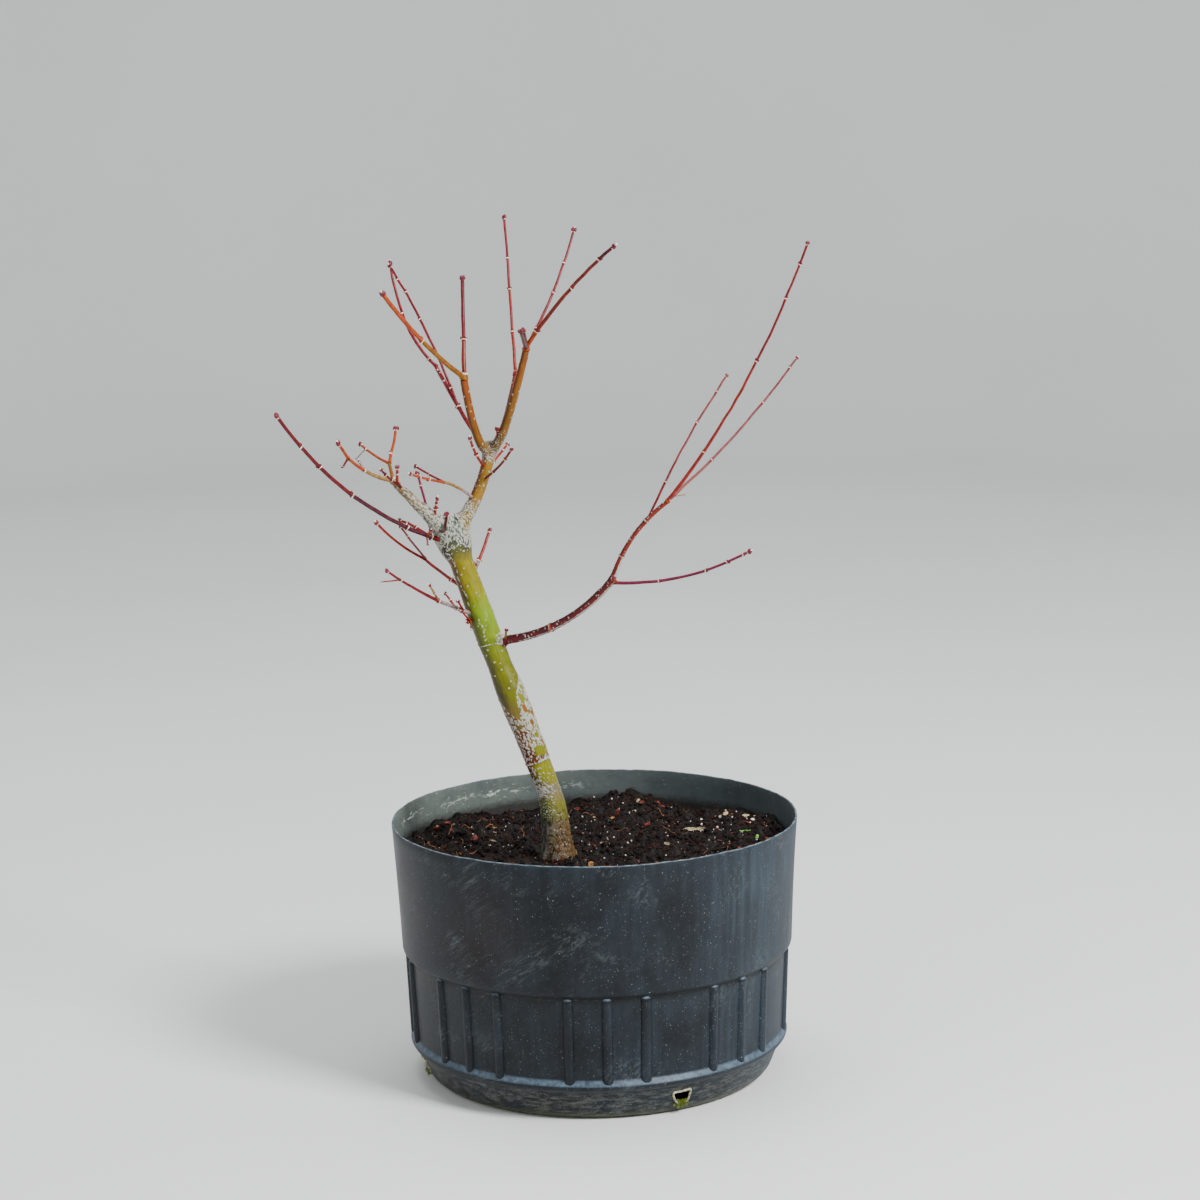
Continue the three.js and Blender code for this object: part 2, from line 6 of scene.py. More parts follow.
import bmesh
import bpy
import numpy as np
from bpy.props import FloatProperty, FloatVectorProperty, IntProperty, PointerProperty
from mathutils import Matrix, Vector


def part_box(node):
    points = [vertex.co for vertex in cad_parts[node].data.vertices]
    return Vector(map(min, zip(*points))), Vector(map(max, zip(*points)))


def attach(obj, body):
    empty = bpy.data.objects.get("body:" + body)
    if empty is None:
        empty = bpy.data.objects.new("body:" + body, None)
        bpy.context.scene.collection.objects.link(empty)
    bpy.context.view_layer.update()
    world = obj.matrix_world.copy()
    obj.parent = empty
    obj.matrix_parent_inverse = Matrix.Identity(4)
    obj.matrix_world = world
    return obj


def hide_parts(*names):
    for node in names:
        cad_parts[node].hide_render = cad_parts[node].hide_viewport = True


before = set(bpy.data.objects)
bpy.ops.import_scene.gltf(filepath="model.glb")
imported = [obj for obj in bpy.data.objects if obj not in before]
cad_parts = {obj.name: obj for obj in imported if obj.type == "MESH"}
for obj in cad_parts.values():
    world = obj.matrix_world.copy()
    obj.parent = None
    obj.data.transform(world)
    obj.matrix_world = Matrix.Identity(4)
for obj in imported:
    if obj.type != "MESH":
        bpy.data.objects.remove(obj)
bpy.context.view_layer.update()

bl_info = {
    "name": "Potted Japanese Maple",
    "version": (1, 0, 0),
    "blender": (4, 5, 0),
    "location": "View3D > Sidebar > Maple",
    "description": "Builds a bare young maple in its cut-down nursery pot",
    "category": "Object",
}

MM = 0.001
POT_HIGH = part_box("pot")[1]

# The source's sizes, repeated, in millimetres
RIM_RADIUS = 135
RIM_HEIGHT = round(POT_HIGH.z / MM, 3)
RIM_OVAL = round(POT_HIGH.x / MM, 3) - RIM_RADIUS
STEP_HEIGHT = 87
FLOOR = 1.8
RIB_GROUPS = 8
RIBS_IN_GROUP = 3
RIB_PITCH_DEG = 11.4
FIRST_GROUP_DEG = 2.6
RIB_RADIUS = 3.6
RIB_PROUD = 2.5
HOLES_DEG = (26, 104, 206, 284)
HOLE_MIDDLE = 12.1
SOIL_LEVEL = 152.7
SOIL_FLAT_REACH = 15
SOIL_OPEN_REACH = 34
RIPPLE_HEIGHT = 1.1
RIPPLE_LENGTH = 62
FOOT = (-25, -27, SOIL_LEVEL + 0.3)
FORK_START = 0.95
SEED = 7
SOIL_MOUNDS = [
    (24, 122, 5.5, 28), (-45, 112, -5, 38), (118, 45, 4.5, 45), (-105, 0, -2.5, 60), (76, 102, -3, 24),
]

# Outer wall of the pot from the middle of its foot to the cut rim, as (radius, height)
OUTER_WALL = [
    (24, 0), (70, 0), (100, 0), (107, 0), (110.2, 0.35), (113, 1.4), (115.2, 3.1), (116.8, 5.2),
    (118.2, 8.4), (120.2, 13.5), (122.2, 18.6), (123.1, 20.8), (123.9, 21.7), (124.6, 21.9),
    (125.5, 22.2), (126.5, 23.2), (127.3, 24.4), (127.6, 25.6), (127.3, 26.6), (126.6, 27.6),
    (125.6, 28.9), (125.0, 29.8), (124.9, 31), (125.2, 38), (125.8, 50), (126.4, 62), (127, 74),
    (127.4, 82.8), (127.6, 84.0), (128.3, 85.1), (130.4, 87.3), (131.1, 88.2), (131.5, 89.6),
    (131.8, 96), (132.4, 110), (133, 125), (133.6, 140), (134.2, 155), (134.7, 167), (135, 173.9),
    (134.85, 174.3), (134.6, RIM_HEIGHT),
]
INNER_WALL = [
    (133.9, RIM_HEIGHT), (133.6, 174.2), (133.5, 173.8), (133.2, 167), (132.7, 155), (132.1, 140),
    (131.5, 125), (130.9, 110), (130.3, 96), (130, 89.2), (125.9, 84.6), (125.5, 74), (124.3, 50),
    (123.4, 31), (125.9, 27), (125.6, 24.6), (121.7, 21.5), (115.4, 5.6), (112, 2.6), (107, FLOOR),
    (70, FLOOR), (24, FLOOR),
]

# Curled scraps of leaf on the soil, as (x, y, turn, length, width, tilt), and seedlings
DRY_LEAVES = [
    (64, 26, 20, 11, 4, 62), (73, 22, -30, 8, 3, 70), (90, 62, 60, 7, 3, 50), (49, 2, -50, 6, 2.4, 45),
    (30, 100, 75, 8, 3, 60), (104, 52, 10, 5, 2.4, 40), (-70, 30, 140, 6, 2.6, 50), (-20, 70, 30, 5, 2.4, 55),
]
SEEDLINGS = [(101.7, 14.9, 10), (109.3, 1.4, 70)]

# A drain hole's outline as (across, up) from its middle, and how far its lip curls out there
HOLE_OUTLINE = [
    (-6.4, 3.2, 1.3), (-5.2, 4.4, 1.6), (-1.0, 4.2, 1.2), (3.0, 4.6, 1.5), (5.6, 5.0, 1.3),
    (6.1, 3.2, 0.8), (5.9, -0.6, 0.4), (5.5, -4.2, 0.2), (2.6, -4.8, 0.2), (-1.0, -4.7, 0.2),
    (-3.4, -3.0, 0.3), (-4.9, 0.2, 0.7),
]

# The camera: what it looks at in millimetres, its distance in metres, its lens and its turns
CAMERA_AIM = (6.93, 0, 320.95)
CAMERA_DISTANCE = 2.1577
CAMERA_DOWN_DEG = 10.28
CAMERA_ROLL_DEG = -1.238
LENS = 97.5
# What the lights point at, in metres
LIT = (0, 0, 0.28)

# A leaf scar, a low cup, and a pruned face, a domed disc, as (share of its height, radius)
LEAF_SCAR = ((0.0, 0.42), (0.3, 0.52), (0.75, 0.5), (1.0, 0.34))
PRUNED_FACE = ((0.0, 0.5), (0.35, 0.56), (0.7, 0.53), (1.0, 0.36))

# The trunk's line from its foot, and its widths by the share of its length
TRUNK_LINE = [(0, 0, 0), (-2.5, 2, 36), (-14, 4, 72), (-41, 8, 146), (-66, 12, 221)]
TRUNK_WIDTHS = [
    (0, 25), (0.03, 22), (0.08, 19.2), (0.13, 17.6), (0.21, 15.2), (0.29, 16.4), (0.33, 17.4),
    (0.36, 16.6), (0.44, 18.2), (0.51, 18.6), (0.58, 16), (0.66, 16.8), (0.73, 17), (0.85, 15.6),
    (0.93, 15.6), (1, 18),
]


def shoot(name, to, widths, on=None, at=1, sag=0, bend=0.5, joints=(), tint="", cut=False):
    """One limb of the rule: it grows from another, at a share of that one's length, over to.
    tint names its barks from butt to tip, and cut says that it ends in a pruned face."""
    return {
        "name": name, "to": to, "widths": widths, "on": on, "at": at, "sag": sag, "bend": bend,
        "joints": joints, "tint": tint.split(), "cut": cut,
    }


FORKS = [
    shoot("fork_left", (-9, -1, 12), (14.5, 13, 11), on="trunk", at=FORK_START, sag=1),
    shoot("fork_right", (3, 1, 12), (14.5, 12.5, 10), on="trunk", at=FORK_START, sag=0.5),
]
BOUGHS = [
    shoot("bough_left", (-29, -16, 33), (11.5, 8.4, 6.6, 5), on="fork_left"),
    shoot("bough_right", (21, 14, 49), (9.6, 8.2, 7.6, 8.4), on="fork_right", sag=4),
    shoot("bough_top_left", (-15, -20, 48), (6.4, 5.4, 5.2, 5), on="bough_right", sag=7, bend=0.05),
    shoot("bough_top_right", (26, -26, 67), (6.6, 5.6, 5, 4.6), on="bough_right", sag=5.5, bend=0.05),
    shoot("bough_top_back", (9, 31, 34), (4.2, 3.8, 3.6), on="bough_top_right", at=0.22, sag=1),
    shoot("bough_low_right", (81, -36, 46), (6.4, 5.2, 4.8, 4.6), on="trunk", at=0.656, sag=10,
          joints=(0.1, 0.45)),
    shoot("bough_low_right_outer", (36, -9, 51), (3.6, 3, 2.8), on="bough_low_right", sag=-5,
          joints=(0.26, 0.71)),
]

# The twig masses: the limb that the first shoot of each starts on, where on it, and the shoots
MASSES = {
    "twigs_top_left": ("bough_top_left", 1, [
        shoot("knuckle", (0.5, 0, 4), (5.6, 5.2), tint="golden", cut=True),
        shoot("arm", (-48, -38, 58), (4, 3.4, 3.2), on="knuckle", at=0.3, sag=3, joints=(0.5,),
              tint="golden orange"),
        shoot("upright", (-0.5, 28, 61), (3.4, 2.8, 2.8), on="knuckle", at=0.5, sag=-1, joints=(0.37,),
              tint="rust crimson"),
    ]),
    "twigs_top_left_back": ("bough_top_left", 0.14, [
        shoot("stem", (-31, 42, 49), (3.4, 3, 3), sag=1, joints=(0.12, 0.5), tint="coral rose"),
        shoot("bent_tip", (-31, 44, 65), (2.6, 2.2, 2), on="stem", sag=11, joints=(0.1, 0.6), tint="rose"),
        shoot("long_tip", (-44, 36, 90), (2, 1.9, 1.7), on="stem", at=0.52, sag=-3.5, joints=(0.12,
              0.32, 0.6, 0.8, 0.9), tint="rose"),
        shoot("spur", (-7, -8, 15), (1.8, 1.5), on="stem", at=0.68, joints=(0.6,), tint="rose"),
    ]),
    "twigs_top_upright": ("bough_top_back", 1, [
        shoot("knuckle", (0, 1, 3), (4, 3.6), tint="coral", cut=True),
        shoot("rod", (-6, 46, 100), (2.5, 2, 1.8), on="knuckle", at=0.4, joints=(0.27, 0.54, 0.74),
              tint="coral rose"),
    ]),
    "twigs_top_right": ("bough_top_right", 1, [
        shoot("knuckle", (0.6, -0.5, 3.5), (5, 4.4), tint="orange", cut=True),
        shoot("stub", (-2.5, -28, 14), (3, 2.8), on="knuckle", at=0.2, tint="maroon"),
        shoot("stub_small", (-1, -18, 13), (2.6, 2.4), on="knuckle", at=0.4, tint="maroon"),
        shoot("arm", (57, -51, 67), (3.4, 2.6, 2.4), on="knuckle", at=0.6, sag=-3.5, joints=(0.14,
              0.56, 0.86), tint="orange rust maroon"),
        shoot("rod", (32, 46, 71), (2.4, 2, 1.8), on="knuckle", at=0.6, sag=4, joints=(0.17, 0.49,
              0.74), tint="coral rose rose"),
    ]),
    "twigs_inner_left": ("bough_right", 0.76, [
        shoot("stem", (-9, -17, 22), (2.2, 1.8), sag=2, joints=(0.55, 0.8), tint="coral"),
    ]),
    "twig_inner_right_back": ("bough_right", 0.72, [
        shoot("stem", (14, 25, 14), (2, 1.8), joints=(0.35, 0.8), tint="coral"),
    ]),
    "twig_inner_right_front": ("bough_right", 0.62, [
        shoot("stem", (20, -26, 23), (2, 1.7), sag=2, joints=(0.35, 0.75), tint="rust"),
    ]),
    "twig_top_spur": ("bough_top_right", 0.12, [
        shoot("stem", (0, -6, 9), (2, 1.8), tint="rose"),
    ]),
    "twigs_left": ("bough_left", 1, [
        shoot("knuckle", (-1, -0.5, 1.5), (5, 4.4), tint="tan", cut=True),
        shoot("arm", (-27, -21, 18), (3.4, 2.6, 2.2), on="knuckle", at=0.4, sag=2.5, joints=(0.62,),
              tint="tan orange"),
        shoot("arm_tip", (-5, -7, 10), (2.2, 2.2), on="arm", tint="orange"),
        shoot("arm_spur", (-4, 6, -6), (1.6, 1.5), on="arm", tint="coral"),
        shoot("arm_bud", (-3, 4, 5), (1.8, 1.5), on="arm", at=0.62, tint="mauve"),
        shoot("riser", (-2.5, 8.5, 10), (2.6, 2.4), on="knuckle", at=0.5, sag=-1, tint="golden"),
        shoot("riser_tip", (4, 18, 19.5), (2.2, 2), on="riser", joints=(0.28,), tint="orange"),
        shoot("riser_arm", (-19.5, 20.5, 10), (2.2, 1.8), on="riser", sag=1, joints=(0.78,), tint="orange"),
        shoot("riser_spur", (-7, 10, -8), (0.9, 0.9), on="riser_arm", at=0.82, tint="mauve"),
    ]),
    "twigs_left_spurs": ("bough_left", 0.84, [
        shoot("stem", (-2, -8, 5), (2.6, 2.2), tint="crimson"),
        shoot("long_spur", (-9.5, -17, 12), (1.8, 1.6), on="stem", at=0.7, sag=1, joints=(0.4, 0.75),
              tint="crimson"),
        shoot("upright_spur", (0.5, -1, 10), (1.9, 1.8), on="stem", joints=(0.6,), tint="coral"),
    ]),
    "twig_saddle_thin": ("bough_left", 0.26, [
        shoot("stem", (-8, 24, 24), (2, 1.7), joints=(0.7,), tint="magenta"),
    ]),
    "twig_saddle_short": ("bough_left", 0.15, [
        shoot("stem", (3, -8, 15), (2, 1.8), joints=(0.55, 0.8), tint="coral"),
    ]),
    "twig_front_spur": ("fork_left", 0.95, [
        shoot("stem", (5, -34, 14), (2.8, 2.4), sag=6, tint="maroon"),
    ]),
    "twigs_arched": ("bough_right", 0.36, [
        shoot("stem", (-19, -20, 15), (2.4, 2.1), sag=-2, tint="mauve tan"),
        shoot("lower", (-20, -20, 9), (1.9, 1.7), on="stem", sag=0.5, joints=(0.45, 0.72), tint="orange"),
        shoot("upper", (-19, 20, 8), (1.8, 1.7), on="stem", joints=(0.5,), tint="rose"),
    ]),
    "twigs_long_left": ("trunk", 0.95, [
        shoot("stem", (-107, -67, 95), (4, 3.2, 2.8, 2.5), sag=13, joints=(0.12, 0.24, 0.53, 0.72,
              0.84), tint="crimson plum crimson crimson"),
        shoot("second", (-17.5, 13, 8), (2.4, 1.9), on="stem", at=0.14, sag=-1, joints=(0.4, 0.75),
              tint="coral"),
        shoot("spur_up", (3, -9, 5), (1.6, 1.5), on="stem", at=0.14, tint="orange"),
        shoot("spur_down", (1, -8, -5), (1.4, 1.2), on="stem", at=0.14, tint="orange"),
    ]),
    "twigs_low_left": ("trunk", 0.8, [
        shoot("stem", (-32, 23, 20), (2.6, 2.2), sag=1, joints=(0.43,), tint="coral"),
        shoot("arm", (-29.5, -22, 28), (2, 1.9), on="stem", sag=2, tint="coral"),
        shoot("back_arm", (-17, 28, 17), (1.7, 1.6), on="stem", joints=(0.7,), tint="rose"),
    ]),
    "twigs_lowest_left": ("trunk", 0.733, [
        shoot("stem", (-58, -40, 38), (3.4, 2.8, 2, 1.7), sag=3, joints=(0.25, 0.44, 0.85),
              tint="mauve mauve rose rose"),
        shoot("dry_spur", (-5, -10, 12), (1.7, 1.5), on="stem", at=0.44, joints=(0.5,), tint="tan"),
        shoot("red_spur", (-7, 13, 7), (1.7, 1.5), on="stem", at=0.26, joints=(0.5,), tint="coral"),
        shoot("near_spur", (-3, -11, 8), (1.7, 1.5), on="stem", at=0.18, tint="coral"),
        shoot("tip_spur", (-12, 10, -3), (1.1, 1), on="stem", at=0.86, tint="orange"),
    ]),
    "twig_trunk_spur": ("trunk", 0.719, [
        shoot("stem", (-9, -6, 1), (2, 1.8), tint="mauve"),
        shoot("low", (1, -15, -2), (1.5, 1.4), on="stem", at=0.9, tint="orange"),
        shoot("high", (-5, -9, 8), (1.5, 1.4), on="stem", at=0.9, tint="coral"),
    ]),
    "twig_right_side": ("trunk", 0.83, [
        shoot("stem", (13, 24, 31), (2.6, 2.2), sag=1, joints=(0.45,), tint="mauve coral"),
        shoot("side_bud", (-4, 2, 5), (1.5, 1.4), on="stem", at=0.35, tint="rose"),
    ]),
    "twig_bough_foot": ("bough_low_right", 0.1, [
        shoot("stem", (2, -13, 9), (1.7, 1.5), tint="tan"),
    ]),
    "twigs_right_inner": ("bough_low_right_outer", 0.74, [
        shoot("stem", (53.5, 43, 86), (1.8, 1.6, 1.5), sag=-3, joints=(0.24, 0.65, 0.88), tint="rose"),
    ]),
    "twigs_right_tips": ("bough_low_right_outer", 1, [
        shoot("knuckle", (1.5, -0.5, 2), (3.2, 3), tint="orange", cut=True),
        shoot("long_rod", (87, -56, 166), (2.8, 2.1, 1.8, 1.7), on="knuckle", at=0.5, sag=8,
              joints=(0.22, 0.58, 0.81, 0.93), tint="coral rose rose"),
        shoot("low_rod", (87, 60, 83), (2, 1.7, 1.5), on="knuckle", at=0.5, sag=4, joints=(0.31, 0.71,
              0.94), tint="rust rose crimson"),
        shoot("dry_spur", (8, 14, -1), (0.9, 0.9), on="low_rod", at=0.03, tint="tan"),
    ]),
    "twigs_right_low": ("bough_low_right", 0.97, [
        shoot("stem", (88, -46, 26), (2.6, 2.2, 2, 1.8), sag=6.5, joints=(0.35, 0.68, 0.84, 0.96),
              tint="magenta"),
        shoot("near_spur", (-2, -8, 5), (1.8, 1.6), on="stem", at=0.05, tint="orange"),
    ]),
}


def hexed(text):
    """The linear red, green, blue and alpha of an sRGB hex colour."""
    parts = [int(text[i:i + 2], 16) / 255 for i in (0, 2, 4)]
    return tuple(c / 12.92 if c <= 0.04045 else ((c + 0.055) / 1.055) ** 2.4 for c in parts) + (1.0,)


def colour_choice(name, description, text):
    return FloatVectorProperty(
        name=name, description=description, subtype="COLOR", size=4, min=0, max=1, default=hexed(text)
    )


# Sizes and colours that a user would change

class MaplePotSettings(bpy.types.PropertyGroup):
    sides: IntProperty(name="Sides", description="Faces round the wall", default=288, min=48, max=512)
    wobble: FloatProperty(name="Wobble", description="How uneven the thin wall is", default=0.0004,
                          unit="LENGTH")
    plastic: colour_choice("Plastic", "Black polypropylene, greyed by sun", "070b11")
    # The weathered colour is also laid on the pot's right side as a painted highlight
    weathered: colour_choice("Weathered", "Where sun and rain have greyed it most", "37424c")
    # The dust colour also serves as a painted highlight on faces that turn up
    dust: colour_choice("Dust", "Dust that lies on the ledge", "5e7080")
    lime: colour_choice("Lime", "Lime from tap water", "9aa4a6")
    algae: colour_choice("Algae", "Dried algae round the foot", "3e4218")


class MapleSoilSettings(bpy.types.PropertyGroup):
    crumbs: IntProperty(name="Crumbs", description="Loose crumbs on the soil", default=5200, min=0)
    chips: IntProperty(name="Chips", description="Bark chips on the soil", default=90, min=0)
    grit: IntProperty(name="Grit", description="Grains of grit", default=620, min=0)
    roots: IntProperty(name="Roots", description="Fine loose roots", default=70, min=0)
    fibres: IntProperty(name="Fibres", description="Short fibres of coir", default=3600, min=0)
    peat: colour_choice("Peat", "Moist peat", "060403")
    chip: colour_choice("Chip", "Conifer bark", "74240f")


class MapleBarkSettings(bpy.types.PropertyGroup):
    grain: FloatProperty(name="Grain", description="Spacing of the bark's mesh", default=0.0005,
                         min=0.0003, unit="LENGTH")
    relief: FloatProperty(name="Relief", description="Height of the crust", default=0.00045,
                          unit="LENGTH")
    crust: colour_choice("Crust", "White lime and lichen crust", "a6a69a")


class MapleTwigSettings(bpy.types.PropertyGroup):
    sides: IntProperty(name="Sides", description="Faces round a shoot", default=10, min=5, max=24)
    bud: FloatProperty(name="Bud", description="Length of a side bud", default=0.002, unit="LENGTH")
    tip_bud: FloatProperty(name="Tip bud", description="Length of a tip's buds", default=0.0036,
                           unit="LENGTH")
    scale: colour_choice("Bud scale", "Bud scales in winter", "70081c")


class MapleStageSettings(bpy.types.PropertyGroup):
    floor: colour_choice("Floor", "Plain pale floor", "dddedd")
    key: FloatProperty(name="Key", description="Power of the main light", default=112, unit="POWER")


SETTINGS = {
    "maple_pot": MaplePotSettings, "maple_soil": MapleSoilSettings, "maple_bark": MapleBarkSettings,
    "maple_twigs": MapleTwigSettings, "maple_stage": MapleStageSettings,
}


# Small helpers

def chance(n):
    """A number from 0 to 1 that depends only on the seed and n."""
    s = math.sin(n * 12.9898 + SEED * 78.233) * 43758.5453
    return s - math.floor(s)


def dealt(cell, seed):
    """A number from -1 to 1 for each whole-numbered cell, one row of three for each."""
    h = cell[:, 0] * 374761393 + cell[:, 1] * 668265263 + cell[:, 2] * 1440662683 + seed * 974711
    h &= 0xFFFFFFFF
    h = ((h ^ (h >> 13)) * 1274126177) & 0xFFFFFFFF
    return ((h ^ (h >> 16)) & 0xFFFF) / 32767.5 - 1


def noise(points, size, seed=0):
    """Smooth noise from -1 to 1 at each point, with lumps of about that size."""
    scaled = np.asarray(points, float) / size
    cell = np.floor(scaled).astype(np.int64)
    part = scaled - cell
    part = part * part * (3 - 2 * part)
    total = np.zeros(len(scaled))
    for corner in itertools.product((0, 1), repeat=3):
        total += dealt(cell + corner, seed) * np.prod(np.where(corner, part, 1 - part), axis=1)
    return total


def flecks(points, size, seed):
    """How deep each point lies in a fleck of about that size: above 0 in it, and below 0 between."""
    scaled = points / size
    cell = np.floor(scaled).astype(np.int64)
    best = np.full(len(points), -9.0)
    for step in itertools.product((-1, 0, 1), repeat=3):
        own = cell + step
        middle = own + 0.5 + 0.42 * np.stack([dealt(own, seed + k) for k in range(3)], axis=1)
        away = np.linalg.norm(scaled - middle, axis=1)
        best = np.maximum(best, 0.55 + 0.1 * dealt(own, seed + 3) - away)
    return best * 1.6


def ease(value, low, high):
    """0 up to low, 1 from high on, and smooth between."""
    t = np.clip((np.asarray(value, float) - low) / (high - low), 0, 1)
    return t * t * (3 - 2 * t)


def window(value, low, high, fall, end):
    """0 up to low, 1 from high to fall and 0 again from end on, and smooth between."""
    return ease(value, low, high) * (1 - ease(value, fall, end))


def bell(value, middle, wide):
    """1 at the middle, falling away over that width on both sides."""
    return np.exp(-(((value - middle) / wide) ** 2))


def mixed(one, other, share):
    """One value at a share of 0 and the other at a share of 1."""
    return one * (1 - share) + other * share


def unit(ways):
    """Each way scaled to a length of 1."""
    return ways / np.maximum(np.linalg.norm(ways, axis=-1, keepdims=True), 1e-6)


def deselect():
    """Leaves any editing and selects nothing."""
    if bpy.context.mode != "OBJECT":
        bpy.ops.object.mode_set(mode="OBJECT")
    bpy.ops.object.select_all(action="DESELECT")


def only(piece):
    """Makes a piece the one that is selected and active."""
    deselect()
    piece.select_set(True)
    bpy.context.view_layer.objects.active = piece


def named(name):
    """The piece that was just added or joined, under its own name."""
    piece = bpy.context.object
    piece.name = piece.data.name = name
    return piece


def placed(name, data):
    """A new object in the scene for that data."""
    piece = bpy.data.objects.new(name, data)
    bpy.context.scene.collection.objects.link(piece)
    return piece


def open_all():
    """Opens the active piece for editing, with all of it selected."""
    bpy.ops.object.mode_set(mode="EDIT")
    bpy.ops.mesh.select_all(action="SELECT")


def close_outward():
    """Turns every face outward and ends the editing."""
    bpy.ops.mesh.select_all(action="SELECT")
    bpy.ops.mesh.normals_make_consistent(inside=False)
    bpy.ops.object.mode_set(mode="OBJECT")


def draw_out(profile, size=1):
    """Draws the selected ring out along a profile of (radius, height) rows; size is their unit for
    heights."""
    for (was, low), (radius, high) in zip(profile, profile[1:]):
        rise = (0, 0, (high - low) * size)
        bpy.ops.mesh.extrude_edges_move(TRANSFORM_OT_translate={"value": rise})
        bpy.ops.transform.resize(value=(radius / was, radius / was, 1), center_override=(0, 0, 0))


def modify(piece, kind, **settings):
    """Adds one modifier and applies it."""
    only(piece)
    modifier = piece.modifiers.new(kind.title(), kind)
    for key, value in settings.items():
        setattr(modifier, key, value)
    bpy.ops.object.modifier_apply(modifier=modifier.name)


def points_of(piece, what="co"):
    """The place, or the normal, of each point of a piece."""
    found = np.empty(len(piece.data.vertices) * 3, np.float32)
    piece.data.vertices.foreach_get(what, found)
    return found.reshape(-1, 3).astype(float)


def move_points(piece, points):
    """Puts the points of a piece at those places."""
    piece.data.vertices.foreach_set("co", np.asarray(points, np.float32).ravel())
    piece.data.update()


def put_attribute(piece, name, kind, values):
    """Keeps a value for each point of a piece, a number, a vector or a colour by its kind."""
    field = {"FLOAT": "value", "FLOAT_VECTOR": "vector", "FLOAT_COLOR": "color"}[kind]
    made = piece.data.attributes.new(name, kind, "POINT")
    made.data.foreach_set(field, np.asarray(values, np.float32).ravel())


def pooled(parts):
    """The points and faces of many shapes as one."""
    points, faces, total = [], [], 0
    for own, rings in parts:
        points.append(own)
        faces += [tuple(total + i for i in face) for face in rings]
        total += len(own)
    return np.vstack(points), faces


def gathered(name, parts, *materials, slots=None, smooth=True):
    """One piece from many shapes in millimetres; slots gives each face's material."""
    points, faces = pooled(parts)
    data = bpy.data.meshes.new(name)
    data.from_pydata((points * MM).tolist(), [], faces)
    for material in materials:
        data.materials.append(material)
    if slots is not None:
        data.polygons.foreach_set("material_index", np.asarray(slots, np.int32))
    data.polygons.foreach_set("use_smooth", [smooth] * len(data.polygons))
    return placed(name, data)


def dressed(piece, material):
    """Gives a piece one material all over and a smooth skin."""
    piece.data.materials.clear()
    piece.data.materials.append(material)
    only(piece)
    bpy.ops.object.shade_smooth()
    return piece


def give(piece, slot, *nodes):
    """The piece stands for those nodes and rides with the plant; the slot is not used."""
    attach(piece, "root")
    if nodes:
        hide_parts(*nodes)


def live_output(node):
    """The first output of a node that its settings leave on."""
    return next(output for output in node.outputs if output.enabled)


def add(tree, kind, sockets=(), **settings):
    """Adds one shader node, with its settings, and with a value or a link for each socket, given by
    name or as a row from the first. A node that is given is linked by its first live output."""
    made = tree.nodes.new("ShaderNode" + kind)
    for key, value in settings.items():
        setattr(made, key, value)
    for key, value in sockets.items() if isinstance(sockets, dict) else enumerate(sockets):
        if isinstance(value, bpy.types.Node):
            value = live_output(value)
        if isinstance(value, bpy.types.NodeSocket):
            tree.links.new(value, made.inputs[key])
        else:
            made.inputs[key].default_value = value
    return made


def new_material(name, sockets):
    """A material and its nodes, with the shader's plain values set on its own sockets."""
    material = bpy.data.materials.new(name)
    material.use_nodes = True
    for key, value in sockets.items():
        material.node_tree.nodes["Principled BSDF"].inputs[key].default_value = value
    return material, material.node_tree


def finished(material, base, coats, height, strength, depth, roughness=None):
    """Lays each coat, a share and a colour, over the base colour, and adds the bump."""
    tree = material.node_tree
    for share, colour in coats:
        base = add(tree, "Mix", {0: share, 6: base, 7: colour}, data_type="RGBA")
    bump = add(tree, "Bump", {"Height": height, "Strength": strength, "Distance": depth})
    shader = tree.nodes["Principled BSDF"]
    for key, node in (("Base Color", base), ("Normal", bump), ("Roughness", roughness)):
        if node:
            tree.links.new(live_output(node), shader.inputs[key])
    return material


# Materials

